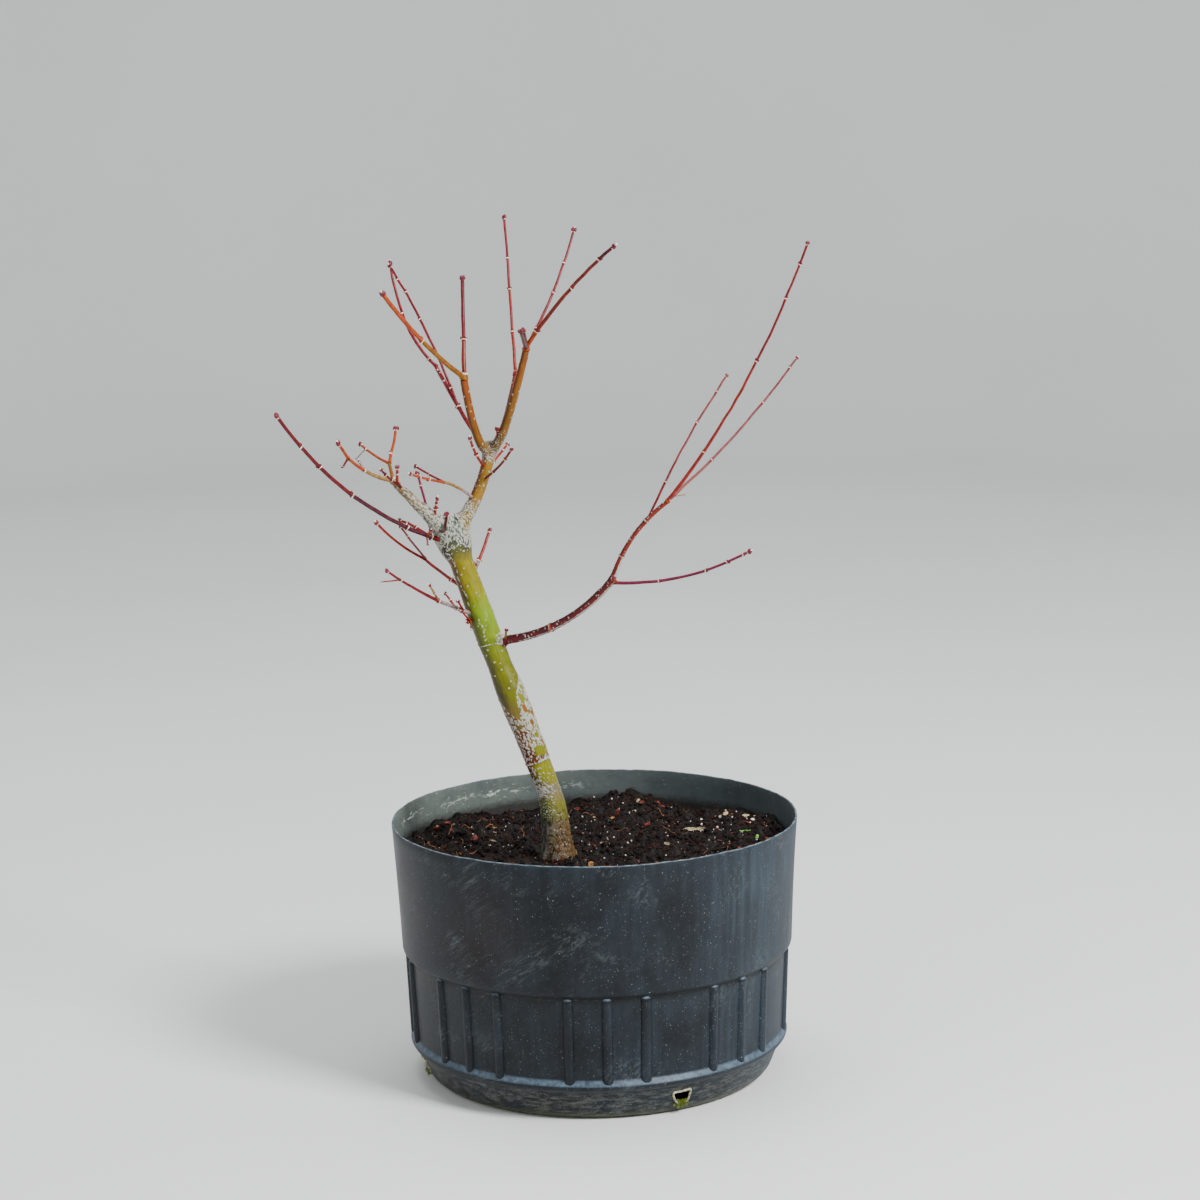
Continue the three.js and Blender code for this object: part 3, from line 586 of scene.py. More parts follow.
def weathered_polypropylene(s):
    """Black injection-moulded polypropylene, greyed by sun: a dull sheen under a grey film, fine lime
    specks, smears and a few long scratches, with a painted highlight on its right side, a painted
    shadow in the groove under the step, and dust mixed with painted highlight on what faces up."""
    material, tree = new_material(
        "weathered_polypropylene", {"IOR": 1.49, "Specular IOR Level": 0.22})
    place = add(tree, "TexCoord").outputs["Object"]
    height = add(tree, "SeparateXYZ", {0: place}).outputs["Z"]
    # Greyed clouds about 45 mm across, and faint rain streaks about 4 mm apart down the wall
    clouds = add(tree, "TexNoise", {"Vector": place, "Scale": 22.0, "Detail": 6.0, "Roughness": 0.62})
    cloudy = add(tree, "MapRange", (clouds, 0.36, 0.66, 0.0, 0.24))
    upright = add(tree, "Mapping", {"Vector": place, "Scale": (1.0, 1.0, 0.06)})
    streaks = add(tree, "TexNoise", {"Vector": upright, "Scale": 250.0, "Detail": 4.0})
    streaky = add(tree, "MapRange", (streaks, 0.36, 0.64, 0.6, 1.4))
    # The right side, where the key light falls, is painted palest: a painted highlight
    toward = add(tree, "VectorMath", (place, (0.95, -0.3, 0.0)), operation="DOT_PRODUCT")
    painted_highlight_right = add(tree, "MapRange", (toward, 0.085, 0.138, 0.0, 0.4), interpolation_type="SMOOTHSTEP")
    weathering_and_painted_highlight = add(tree, "Math", (cloudy, painted_highlight_right), operation="ADD")
    haze_and_painted_highlight = add(tree, "Math", (weathering_and_painted_highlight, streaky), operation="MULTIPLY")
    # A faint brown bloom on the upper left
    bloom = add(tree, "VectorMath", (place, (-0.075, -0.11, 0.128)), operation="DISTANCE")
    bloomed = add(tree, "MapRange", (bloom, 0.01, 0.045, 0.3, 0.0), interpolation_type="SMOOTHSTEP")
    # A painted shadow darkens the groove under the step's overhang, and dust, with a painted highlight, lies
    # on what faces up, thickest on the ledge
    groove = add(tree, "Math", (height, 0.0845), operation="SUBTRACT")
    groove = add(tree, "Math", {0: groove}, operation="ABSOLUTE")
    painted_groove_shadow = add(tree, "MapRange", (groove, 0.0008, 0.0035, 0.8, 0.0))
    # Faces that turn up are lighter: partly dust, partly a painted highlight from the light above
    normal = add(tree, "NewGeometry").outputs["Normal"]
    upward = add(tree, "SeparateXYZ", {0: normal}).outputs["Z"]
    faces_up = add(tree, "MapRange", (upward, 0.15, 0.65, 0.0, 0.8))
    mottle = add(tree, "TexNoise", {"Vector": place, "Scale": 260.0, "Detail": 5.0, "Roughness": 0.7})
    patchy = add(tree, "MapRange", (mottle, 0.35, 0.62, 0.35, 1.1))
    dust_and_painted_highlight = add(tree, "Math", (faces_up, patchy), operation="MULTIPLY", use_clamp=True)
    # Smears: slanted strokes of fine bright grain about 2 mm apart, in a few patches
    slanted = add(tree, "Mapping", {"Vector": place, "Rotation": (0.5, 0.9, 0.0), "Scale": (1.0, 1.0, 9.0)},
                  vector_type="TEXTURE")
    smears = add(tree, "TexNoise", {"Vector": slanted, "Scale": 460.0, "Detail": 5.0, "Roughness": 0.7,
                                    "Distortion": 0.5})
    smeared = add(tree, "MapRange", (smears, 0.48, 0.74, 0.0, 0.25))
    rubbed = add(tree, "TexNoise", {"Vector": place, "Scale": 30.0, "Detail": 2.0})
    where = add(tree, "MapRange", (rubbed, 0.55, 0.7, 0.06, 0.7))
    smear = add(tree, "Math", (smeared, where), operation="MULTIPLY")
    # Scratches: straight hairlines about a third of a millimetre wide and 20 mm long
    drawn = add(tree, "Mapping", {"Vector": place, "Rotation": (-0.4, 1.2, 0.3), "Scale": (1.0, 1.0, 55.0)},
                vector_type="TEXTURE")
    lines = add(tree, "TexVoronoi", {"Vector": drawn, "Scale": 95.0})
    scratch = add(tree, "MapRange", (lines.outputs["Distance"], 0.012, 0.03, 0.4, 0.0))
    coats = [(bloomed, hexed("2c201e")), (painted_groove_shadow, hexed("06080a")), (dust_and_painted_highlight, s.dust), (smear, s.lime),
             (scratch, s.lime)]
    # Specks where drops dried: many faint ones about 1.4 mm apart, and brighter ones 3 mm apart
    for scale, least, most, bright in ((700.0, 0.1, 0.22, 0.36), (300.0, 0.05, 0.11, 0.62)):
        drops = add(tree, "TexVoronoi", {"Vector": place, "Scale": scale})
        pick = add(tree, "SeparateColor", {0: drops.outputs["Color"]})
        wide = add(tree, "MapRange", {0: pick.outputs[1], 3: least, 4: most})
        dot = add(tree, "Math", (drops.outputs["Distance"], wide), operation="LESS_THAN")
        few = add(tree, "MapRange", (pick.outputs[0], 0.45, 1.0, 0.0, bright))
        coats.append((add(tree, "Math", (dot, few), operation="MULTIPLY"), s.lime))
    # Lime in faint level bands round the foot, and dried algae along its bottom edge
    flat = add(tree, "Mapping", {"Vector": place, "Scale": (1.0, 1.0, 3.5)})
    bands = add(tree, "TexNoise", {"Vector": flat, "Scale": 120.0, "Detail": 7.0, "Roughness": 0.75})
    banded = add(tree, "MapRange", (bands, 0.46, 0.68, 0.0, 0.6))
    low = add(tree, "MapRange", (height, 0.024, 0.019, 0.0, 0.8))
    coats.append((add(tree, "Math", (banded, low), operation="MULTIPLY"), hexed("74766c")))
    shaken = add(tree, "Math", (bands, 0.012, height), operation="MULTIPLY_ADD")
    coats.append((add(tree, "MapRange", (shaken, 0.0115, 0.0065, 0.0, 0.8)), s.algae))
    base = add(tree, "Mix", {0: haze_and_painted_highlight, 6: s.plastic, 7: s.weathered}, data_type="RGBA")
    rough = add(tree, "Math", (smear, mottle), operation="ADD")
    dull = add(tree, "MapRange", (haze_and_painted_highlight, 0.0, 0.6, 0.4, 0.6))
    return finished(material, base, coats, rough, 0.35, 0.0003, dull)


def limed_polypropylene():
    """The same plastic inside, where water stood: grey-green film, laid as painted light on the left and
    painted shade on the right, pale lime streaks, soil below.
    """
    material, tree = new_material(
        "limed_polypropylene", {"IOR": 1.49, "Roughness": 0.7, "Specular IOR Level": 0.3})
    place = add(tree, "TexCoord").outputs["Object"]
    film = add(tree, "TexNoise", {"Vector": place, "Scale": 55.0, "Detail": 8.0, "Roughness": 0.75})
    # The film is thickest on the left, where the key light falls, and thinnest on the right: painted light
    # and shade
    toward = add(tree, "VectorMath", (place, (-0.98, 0.1, 0.0)), operation="DOT_PRODUCT")
    left = add(tree, "MapRange", (toward, -0.05, 0.12, 0.35, 1.0))
    film_and_painted_light = add(tree, "Math", (film, left), operation="MULTIPLY")
    spread = add(tree, "MapRange", (film_and_painted_light, 0.03, 0.62, 0.0, 1.0))
    # A broken tide line of lime about 11 mm above the soil, on the left and thin
    height = add(tree, "SeparateXYZ", {0: place}).outputs["Z"]
    sway = add(tree, "TexNoise", {"Vector": place, "Scale": 30.0, "Detail": 2.0})
    tide = add(tree, "Math", (sway, 0.016, height), operation="MULTIPLY_ADD")
    away = add(tree, "Math", (tide, 0.172), operation="SUBTRACT")
    away = add(tree, "Math", {0: away}, operation="ABSOLUTE")
    close = add(tree, "MapRange", (away, 0.0002, 0.004, 0.13, 0.0))
    level = add(tree, "Mapping", {"Vector": place, "Scale": (1.0, 1.0, 2.4)})
    torn = add(tree, "TexNoise", {"Vector": level, "Scale": 230.0, "Detail": 8.0, "Roughness": 0.7})
    heaped = add(tree, "Math", (torn, close), operation="ADD")
    streak = add(tree, "MapRange", (heaped, 0.61, 0.7, 0.0, 0.85))
    gaps = add(tree, "TexNoise", {"Vector": place, "Scale": 62.0, "Detail": 1.0})
    for source, low, high in ((gaps, 0.42, 0.6), (toward, 0.0, 0.1)):
        share = add(tree, "MapRange", (source, low, high))
        streak = add(tree, "Math", (streak, share), operation="MULTIPLY")
    # Fine lime grains all over, and soil that stains the wall just above the ground
    grains = add(tree, "MapRange", (torn, 0.6, 0.72, 0.0, 0.3))
    stain = add(tree, "Math", (torn, -0.01, height), operation="MULTIPLY_ADD")
    soiled = add(tree, "MapRange", (stain, 0.1475, 0.1535, 0.85, 0.0))
    base = add(tree, "Mix", {0: spread, 6: hexed("252e36"), 7: hexed("5e6660")}, data_type="RGBA")
    coats = [(grains, hexed("8e9690")), (streak, hexed("c8cec8")), (soiled, hexed("17100c"))]
    return finished(material, base, coats, torn, 0.4, 0.0005)


def plain_finish(name, low, high, grain_mm, roughness=0.8, bump=0.3, gloss=0.35):
    """A matt natural stuff whose colour drifts between two tones in grains of that size. A tone is
    a hex text or one of the settings' colours."""
    low, high = (hexed(tone) if isinstance(tone, str) else tone for tone in (low, high))
    material, tree = new_material(name, {"Roughness": roughness, "Specular IOR Level": gloss})
    place = add(tree, "TexCoord").outputs["Object"]
    grain = add(tree, "TexNoise", {"Vector": place, "Scale": 1 / (grain_mm * MM), "Detail": 3.0})
    spread = add(tree, "MapRange", (grain, 0.36, 0.64))
    base = add(tree, "Mix", {0: spread, 6: low, 7: high}, data_type="RGBA")
    return finished(material, base, [], grain, bump, grain_mm * MM * 0.3)


def moist_potting_mix(s):
    """Peat and fine bark, just watered: near black, with a faint wet gleam on its lumps."""
    material, tree = new_material("moist_potting_mix", {"Specular IOR Level": 0.2})
    place = add(tree, "TexCoord").outputs["Object"]
    lumps = add(tree, "TexNoise", {"Vector": place, "Scale": 120.0, "Detail": 6.0, "Roughness": 0.7})
    fibres = add(tree, "TexNoise", {"Vector": place, "Scale": 520.0, "Detail": 4.0})
    warm = add(tree, "MapRange", (lumps, 0.42, 0.66, 0.0, 0.8))
    base = add(tree, "Mix", {0: warm, 6: s.peat, 7: hexed("130804")}, data_type="RGBA")
    wet = add(tree, "MapRange", (fibres, 0.35, 0.65, 0.5, 0.9))
    return finished(material, base, [], fibres, 0.8, 0.001, wet)


def maple_bark(s):
    """Thin living bark with a satin skin, under a matt white crust. The mesh carries the colour of
    the skin, how much crust lies on it, and each point's place along its limb."""
    material, tree = new_material("maple_bark", {"IOR": 1.45, "Specular IOR Level": 0.27})
    tint = add(tree, "Attribute", attribute_name="tint")
    crust = add(tree, "Attribute", attribute_name="crust").outputs["Fac"]
    unbent = add(tree, "Attribute", attribute_name="unbent").outputs["Vector"]
    # Fine lengthwise grain, about 0.8 mm across and 6 mm long
    grained = add(tree, "Mapping", {"Vector": unbent, "Scale": (1.0, 1.0, 0.13)})
    grain = add(tree, "TexNoise", {"Vector": grained, "Scale": 1250.0, "Detail": 3.0})
    drift = add(tree, "TexNoise", {"Vector": unbent, "Scale": 110.0, "Detail": 3.0})
    deeper = add(tree, "MapRange", (grain, 0.3, 0.7, 0.76, 1.16))
    lighter = add(tree, "MapRange", (drift, 0.3, 0.7, 0.88, 1.1))
    both = add(tree, "Math", (deeper, lighter), operation="MULTIPLY")
    skin = add(tree, "VectorMath", {0: tint.outputs["Color"], "Scale": both}, operation="SCALE")
    # The crust breaks up at its edge in flakes of about 0.7 mm, and greys in patches
    flakes = add(tree, "TexNoise", {"Vector": unbent, "Scale": 1400.0, "Detail": 2.0})
    edge = add(tree, "Math", (flakes, 0.5, crust), operation="MULTIPLY_ADD")
    laid = add(tree, "MapRange", (edge, 0.62, 0.8, 0.0, 0.92))
    greyed = add(tree, "MapRange", (flakes, 0.36, 0.6, 0.75, 0.0))
    white = add(tree, "Mix", {0: greyed, 6: s.crust, 7: hexed("8a8c84")}, data_type="RGBA")
    dull = add(tree, "MapRange", (laid, 0.0, 0.92, 0.38, 0.9))
    height = add(tree, "Math", (grain, laid), operation="ADD")
    return finished(material, skin, [(laid, white)], height, 0.45, 0.0003, dull)


# First-year and second-year shoots, each as its shaded and its sunlit tone
TWIG_TINTS = {
    "rose": ("500510", "7e0c18"),
    "coral": ("6a0e08", "8e1c0c"),
    "crimson": ("46050e", "6a0a14"),
    "plum": ("340e1a", "501624"),
    "magenta": ("540828", "7a123c"),
    "rust": ("560e04", "7c2206"),
    "maroon": ("34040a", "54080c"),
    "orange": ("7c2a06", "9c3e0a"),
    "golden": ("683a04", "865406"),
    "tan": ("6c4c20", "92703e"),
    "mauve": ("6a504e", "968280"),
}


def maple_shoot(tint):
    """The waxy skin of a young shoot: smooth and a little glossy, its colour drifting lengthwise."""
    low, high = TWIG_TINTS[tint]
    return plain_finish(f"maple_shoot_{tint}", low, high, 2.4, roughness=0.32, bump=0.12, gloss=0.24)


# The rule that grows the limbs, in millimetres

class Line:
    """A smooth line kept as close points, and read by the share of its length."""

    def __init__(self, points):
        self.points = np.asarray(points, float)
        steps = np.linalg.norm(np.diff(self.points, axis=0), axis=1)
        self.far = np.concatenate([[0], np.cumsum(steps)])
        self.length = self.far[-1]

    def at(self, share):
        far = np.asarray(share, float) * self.length
        return np.stack([np.interp(far, self.far, self.points[:, k]) for k in range(3)], axis=-1)

    def along(self, share):
        share = np.asarray(share, float)
        return unit(self.at(np.minimum(share + 0.004, 1)) - self.at(np.maximum(share - 0.004, 0)))


def sweep(start, limb):
    """The line of a limb from its start over to, hanging by sag below the straight one."""
    chord = np.array(limb["to"], float)
    down = np.array([0, 0, -1.0])
    down -= chord * (down @ chord) / (chord @ chord)
    pull = start + chord * limb["bend"]
    if down @ down > 1e-6:
        pull = pull + down / np.linalg.norm(down) * 2 * limb["sag"]
    t = np.linspace(0, 1, 241)[:, None]
    return Line((1 - t) ** 2 * start + 2 * t * (1 - t) * pull + t * t * (start + chord))


def trunk_line():
    """The trunk's line through its points, a centripetal spline."""
    knots = [np.array(FOOT, float) + p for p in TRUNK_LINE]
    knots = [2 * knots[0] - knots[1], *knots, 2 * knots[-1] - knots[-2]]
    found = []
    for a, b, c, d in zip(knots, knots[1:], knots[2:], knots[3:]):
        gap_ab, gap_bc, gap_cd = (math.sqrt(np.linalg.norm(q - p)) for p, q in ((a, b), (b, c), (c, d)))
        leave = ((b - a) / gap_ab - (c - a) / (gap_ab + gap_bc) + (c - b) / gap_bc) * gap_bc
        meet = ((c - b) / gap_bc - (d - b) / (gap_bc + gap_cd) + (d - c) / gap_cd) * gap_bc
        t = np.linspace(0, 1, 120, endpoint=False)[:, None]
        found.append(b + leave * t + (3 * (c - b) - 2 * leave - meet) * t**2
                     + (2 * (b - c) + leave + meet) * t**3)
    return Line(np.vstack([*found, knots[-2][None]]))


def width_at(limb, share):
    """The thickness at a share, from evenly spaced widths."""
    return np.interp(share, np.linspace(0, 1, len(limb["widths"])), limb["widths"])


def tube(line, shares, radii, sides):
    """The points and faces of a round limb through those shares, closed to a point at both ends."""
    middles, along = line.at(shares), line.along(shares)
    across = np.cross((0, 1, 0), along[0])
    if np.linalg.norm(across) < 0.3:
        across = np.array((1.0, 0, 0))
    turn = np.linspace(0, 2 * np.pi, sides, endpoint=False)
    points = [middles[0]]
    for middle, way, radius in zip(middles, along, radii):
        across = across - way * (across @ way)
        across /= np.linalg.norm(across)
        other = np.cross(way, across)
        points.extend(middle + radius * (np.cos(t) * across + np.sin(t) * other) for t in turn)
    points.append(middles[-1])
    last = len(points) - 1
    faces = [(0, 1 + (i + 1) % sides, 1 + i) for i in range(sides)]
    for ring in range(len(middles) - 1):
        low, top = 1 + ring * sides, 1 + (ring + 1) * sides
        for i in range(sides):
            after = (i + 1) % sides
            faces.append((low + i, low + after, top + after, top + i))
    faces += [(top + i, top + (i + 1) % sides, last) for i in range(sides)]
    return np.array(points), faces


def grow_limbs():
    """The lines of the trunk, its fork and the boughs, by name."""
    lines = {"trunk": trunk_line()}
    for limb in FORKS + BOUGHS:
        lines[limb["name"]] = sweep(lines[limb["on"]].at(limb["at"]), limb)
    return lines


def grow_mass(lines, mass):
    """Each shoot of a mass with its line, by the same rule."""
    limb, at, shoots = mass
    own = {}
    for one in shoots:
        start = own[one["on"]].at(one["at"]) if one["on"] else lines[limb].at(at)
        own[one["name"]] = sweep(start, one)
        yield one, own[one["name"]]


LINES = grow_limbs()


def carries(shoots, one):
    """Whether another shoot goes on from this one's tip, which then bears no bud."""
    near_tip = 0.9
    return any(other["on"] == one["name"] and other["at"] > near_tip for other in shoots)


# The pot

def outer_radius(height):
    """The pot's outside radius at a height, both in millimetres."""
    radii, heights = zip(*OUTER_WALL[4:])
    return np.interp(height, heights, radii)


def oval_top(points):
    """Above its step the pot grows slightly wider across than from front to back."""
    share = np.maximum(0, points[:, 2] / MM - STEP_HEIGHT) / (RIM_HEIGHT - STEP_HEIGHT)
    stretch = RIM_OVAL * share**2 / RIM_RADIUS
    points[:, 0] *= 1 + stretch
    points[:, 1] *= 1 - stretch
    return points


def pot_wall(sides):
    """The pot's wall and floor: one ring, drawn out along the profile and closed at both ends."""
    profile = OUTER_WALL + INNER_WALL
    deselect()
    bpy.ops.mesh.primitive_circle_add(vertices=sides, radius=profile[0][0] * MM, fill_type="NOTHING")
    wall = named("pot_shell")
    open_all()
    draw_out(profile, MM)
    bpy.ops.mesh.merge(type="CENTER")
    mesh = bmesh.from_edit_mesh(wall.data)
    for vert in mesh.verts:
        vert.select = abs(vert.co.z) < 1e-6 and vert.co.xy.length < (profile[0][0] + 1) * MM
    mesh.select_flush_mode()
    bpy.ops.mesh.merge(type="CENTER")
    close_outward()
    return wall


def pot_ribs():
    """One half-round rib with rounded ends, leaning with the wall, and its copies round the pot."""
    low, high = 26.2, 86.2
    sunk = RIB_RADIUS - RIB_PROUD
    low_at, high_at = sunk - outer_radius(31), sunk - outer_radius(82)
    lean = math.atan2(high_at - low_at, high - low)
    deselect()
    bpy.ops.mesh.primitive_cylinder_add(
        vertices=28, radius=RIB_RADIUS * MM, depth=(high - low) / math.cos(lean) * MM,
        location=(0, (low_at + high_at) / 2 * MM, (low + high) / 2 * MM), rotation=(-lean, 0, 0))
    rib = named("pot_rib")
    bpy.ops.object.transform_apply(location=True, rotation=True, scale=True)
    modify(rib, "BEVEL", width=RIB_RADIUS * 0.8 * MM, segments=6, limit_method="ANGLE",
           angle_limit=math.radians(50))
    copies = []
    for group, i in itertools.product(range(RIB_GROUPS), range(RIBS_IN_GROUP)):
        turn = FIRST_GROUP_DEG + group * 360 / RIB_GROUPS + (i - 1) * RIB_PITCH_DEG
        copy = placed("pot_rib_copy", rib.data.copy())
        copy.data.transform(Matrix.Rotation(math.radians(turn), 4, "Z"))
        copies.append(copy)
    bpy.data.objects.remove(rib)
    return joined("pot_ribs", copies)


def joined(name, pieces):
    """Several pieces joined as one."""
    deselect()
    for piece in pieces:
        piece.select_set(True)
    bpy.context.view_layer.objects.active = pieces[0]
    bpy.ops.object.join()
    return named(name)


def combine(piece, other, how):
    """Joins or cuts a piece by another, which is then used up."""
    modify(piece, "BOOLEAN", operation=how, solver="MANIFOLD", object=other)
    bpy.data.objects.remove(other)


def hole_ring(index, count=36):
    """A drain hole's outline on the wall, as (across, up, curl) for evenly dealt points, each hole a
    little different, with its turn round the pot."""
    rng = random.Random(SEED * 10 + index)
    moved = int(index > 0)
    corners = np.array([
        [x + moved * rng.uniform(-0.5, 0.5), z + moved * rng.uniform(-0.5, 0.5), curl]
        for x, z, curl in HOLE_OUTLINE
    ])
    closed = np.vstack([corners, corners[:1]])
    shares = np.linspace(0, len(corners), count, endpoint=False)
    ring = np.stack([np.interp(shares, range(len(closed)), closed[:, k]) for k in range(3)], axis=1)
    for _ in range(2):
        ring = (np.roll(ring, 1, 0) + 2 * ring + np.roll(ring, -1, 0)) / 4
    return ring, math.radians(HOLES_DEG[index])


def hole_cutter(index):
    """What a drain hole takes out of the wall: its outline, filled and drawn through."""
    ring, turn = hole_ring(index)
    inside, depth = -0.105, -0.03
    deselect()
    bpy.ops.mesh.primitive_circle_add(vertices=len(ring), radius=1, fill_type="NGON")
    cutter = named("hole_cutter")
    for vert, (across, up, _) in zip(cutter.data.vertices, ring):
        vert.co = (across * MM, inside, (HOLE_MIDDLE + up) * MM)
    open_all()
    bpy.ops.mesh.extrude_region_move(TRANSFORM_OT_translate={"value": (0, depth, 0)})
    close_outward()
    cutter.data.transform(Matrix.Rotation(turn, 4, "Z"))
    return cutter


def hole_lip(index):
    """The bead of torn plastic that curls out round a drain hole."""
    ring, turn = hole_ring(index)
    rng = random.Random(SEED * 20 + index)
    curve = bpy.data.curves.new("drain_lip", "CURVE")
    curve.dimensions = "3D"
    curve.bevel_depth, curve.bevel_resolution = 0.62 * MM, 3
    line = curve.splines.new("POLY")
    line.points.add(len(ring) - 1)
    line.use_cyclic_u = True
    for point, (across, up, curl) in zip(line.points, ring):
        out = outer_radius(HOLE_MIDDLE + up)
        depth = math.sqrt(max(out**2 - across**2, 0)) + 0.55 * curl
        grown = 1 + 0.05 * curl
        place = Vector((across * grown, -depth, HOLE_MIDDLE + up * grown)) * MM
        point.co = (Matrix.Rotation(turn, 3, "Z") @ place).to_4d()
        point.radius = rng.uniform(0.85, 1.2) + 0.12 * curl
    only(placed("drain_lip", curve))
    bpy.ops.object.convert(target="MESH")
    return bpy.context.object


# Soil

def soil_height(x, y):
    """The soil's height in millimetres at places in millimetres: the source's level and mounds."""
    away = np.hypot(x - FOOT[0], y - FOOT[1])
    wave = 2 * math.pi / RIPPLE_LENGTH
    rise = RIPPLE_HEIGHT * np.sin(x * wave + SEED) * np.cos(y * wave)
    for right, back, height, reach in SOIL_MOUNDS:
        rise = rise + height * np.exp(-((x - right) ** 2 + (y - back) ** 2) / reach**2)
    return SOIL_LEVEL + rise * ease(away, SOIL_FLAT_REACH, SOIL_OPEN_REACH)


def crumbly(x, y):
    """The height with the lumps and pores of loose soil."""
    flat = np.stack([x, y, np.zeros_like(x)], axis=1)
    lumps = 2.8 * noise(flat, 13, 1) + 4.4 * np.maximum(0, noise(flat, 6.5, 2)) + 1.6 * noise(flat, 3, 3)
    calm = ease(np.hypot(x - FOOT[0], y - FOOT[1]), 9, 26)
    return soil_height(x, y) + (lumps - 0.9) * (0.35 + 0.65 * calm)


def soil_bed():
    """The soil: a grid trimmed round, raised into crumbly ground, and drawn down into the pot."""
    reach, spacing = 132.0, 1.25
    count = int(2 * reach / spacing)
    deselect()
    bpy.ops.mesh.primitive_grid_add(x_subdivisions=count, y_subdivisions=count, size=2 * reach * MM)
    bed = named("soil_bed")
    bpy.ops.object.mode_set(mode="EDIT")
    mesh = bmesh.from_edit_mesh(bed.data)
    for vert in mesh.verts:
        vert.select = vert.co.xy.length > (reach - 0.6) * MM
    mesh.select_flush_mode()
    bpy.ops.mesh.delete(type="VERT")
    bpy.ops.object.mode_set(mode="OBJECT")
    mesh = bmesh.new()
    mesh.from_mesh(bed.data)
    for vert in mesh.verts:
        if vert.is_boundary:
            vert.co.xy = vert.co.xy.normalized() * reach * MM
    mesh.to_mesh(bed.data)
    mesh.free()
    points = points_of(bed)
    points[:, 2] = crumbly(points[:, 0] / MM, points[:, 1] / MM) * MM
    move_points(bed, points)
    only(bed)
    open_all()
    bpy.ops.mesh.region_to_loop()
    for drop, shrink in ((0.05, 0.965), (0.04, 0.93), (0.05, 0.94)):
        bpy.ops.mesh.extrude_edges_move(TRANSFORM_OT_translate={"value": (0, 0, -drop)})
        bpy.ops.transform.resize(value=(shrink, shrink, 1), center_override=(0, 0, 0))
    bpy.ops.transform.resize(value=(1, 1, 0), center_override=(0, 0, 3 * MM))
    bpy.ops.mesh.edge_face_add()
    close_outward()
    move_points(bed, oval_top(points_of(bed)))
    return bed


def taken(piece, size=1):
    """The points and faces of a primitive, which is then removed."""
    points, faces = points_of(piece) * size, [tuple(face.vertices) for face in piece.data.polygons]
    bpy.data.objects.remove(piece)
    return points, faces


def lump(size):
    """A broken grain: an icosphere with its corners pushed about."""
    deselect()
    bpy.ops.mesh.primitive_ico_sphere_add(subdivisions=1, radius=1)
    grain = named("grain")
    rng = random.Random(f"grain{size}")
    for vert in grain.data.vertices:
        vert.co *= rng.uniform(0.7, 1.25)
    return taken(grain, size)


def scattered(name, shapes, count, sizes, seed, material, flat=1.0, sink=0.25, where=None):
    """Copies of a few shapes strewn over the soil and joined, each turned and sized by the seed."""
    rng = np.random.default_rng(seed)
    tries, reach, trunk_reach = count * 30, 128.0, 11
    away, turn = reach * np.sqrt(rng.uniform(size=tries)), rng.uniform(0, 2 * math.pi, tries)
    places = np.stack([away * np.cos(turn), away * np.sin(turn)], axis=1)
    places = places[np.hypot(places[:, 0] - FOOT[0], places[:, 1] - FOOT[1]) > trunk_reach]
    if where:
        places = places[where(places[:, 0], places[:, 1])]
    places = places[:count]
    parts = []
    for (x, y), ground in zip(places, crumbly(places[:, 0], places[:, 1])):
        size = sizes[0] * (sizes[1] / sizes[0]) ** (rng.uniform() ** 1.8)
        shape, faces = shapes[rng.integers(len(shapes))]
        spin = Matrix.Rotation(rng.uniform(0, 2 * math.pi), 3, "Z") @ Matrix.Rotation(
            rng.normal(0, 0.5 if flat < 0.9 else 1.5), 3, "X")
        stretch = np.array([rng.uniform(0.7, 1.3), rng.uniform(0.7, 1.3), rng.uniform(0.7, 1.1) * flat])
        at = np.array([x, y, ground + size * flat * (0.5 - sink)])
        parts.append(((shape * stretch * size / 2) @ np.array(spin).T + at, faces))
    return gathered(name, parts, material, smooth=False)


def chip_shape(seed):
    """A flake of bark: a short slab with its corners knocked off."""
    deselect()
    bpy.ops.mesh.primitive_cube_add(size=2)
    chip = named("chip")
    rng = random.Random(seed)
    open_all()
    bpy.ops.mesh.bevel(offset=0.5, segments=1, affect="EDGES")
    bpy.ops.object.mode_set(mode="OBJECT")
    for vert in chip.data.vertices:
        vert.co *= rng.uniform(0.75, 1.2)
    return taken(chip)


def strands(name, lines, thick, material, sides=5):
    """Fine strands along those lines, tapering to both ends, as one piece."""
    parts = []
    for line, wide in zip(lines, thick):
        shares = np.linspace(0, 1, max(3, int(line.length / 1.6)))
        radii = wide / 2 * (0.35 + 0.65 * np.sin(np.pi * np.clip(shares * 0.9 + 0.06, 0, 1)))
        parts.append(tube(line, shares, radii, sides))
    return gathered(name, parts, material)


def loose_roots(count):
    """Fine roots that wander over the soil and dip into it."""
    rng = np.random.default_rng(SEED + 40)
    lines, thick = [], []
    for _ in range(count):
        away, turn = 124 * math.sqrt(rng.uniform()), rng.uniform(0, 2 * math.pi)
        place = np.array([away * math.cos(turn), away * math.sin(turn)])
        heading, path = rng.uniform(0, 2 * math.pi), []
        for step in range(int(rng.integers(6, 15))):
            if np.hypot(*place) > 127:
                break
            lift = 0.9 + 1.2 * math.sin(step * 0.7 + away)
            path.append([*place, crumbly(place[:1], place[1:])[0] + lift])
            heading += rng.normal(0, 0.45)
            place = place + 1.7 * np.array([math.cos(heading), math.sin(heading)])
        if len(path) > 3:
            lines.append(Line(path))
            thick.append(rng.uniform(0.35, 0.75))
    return lines, thick


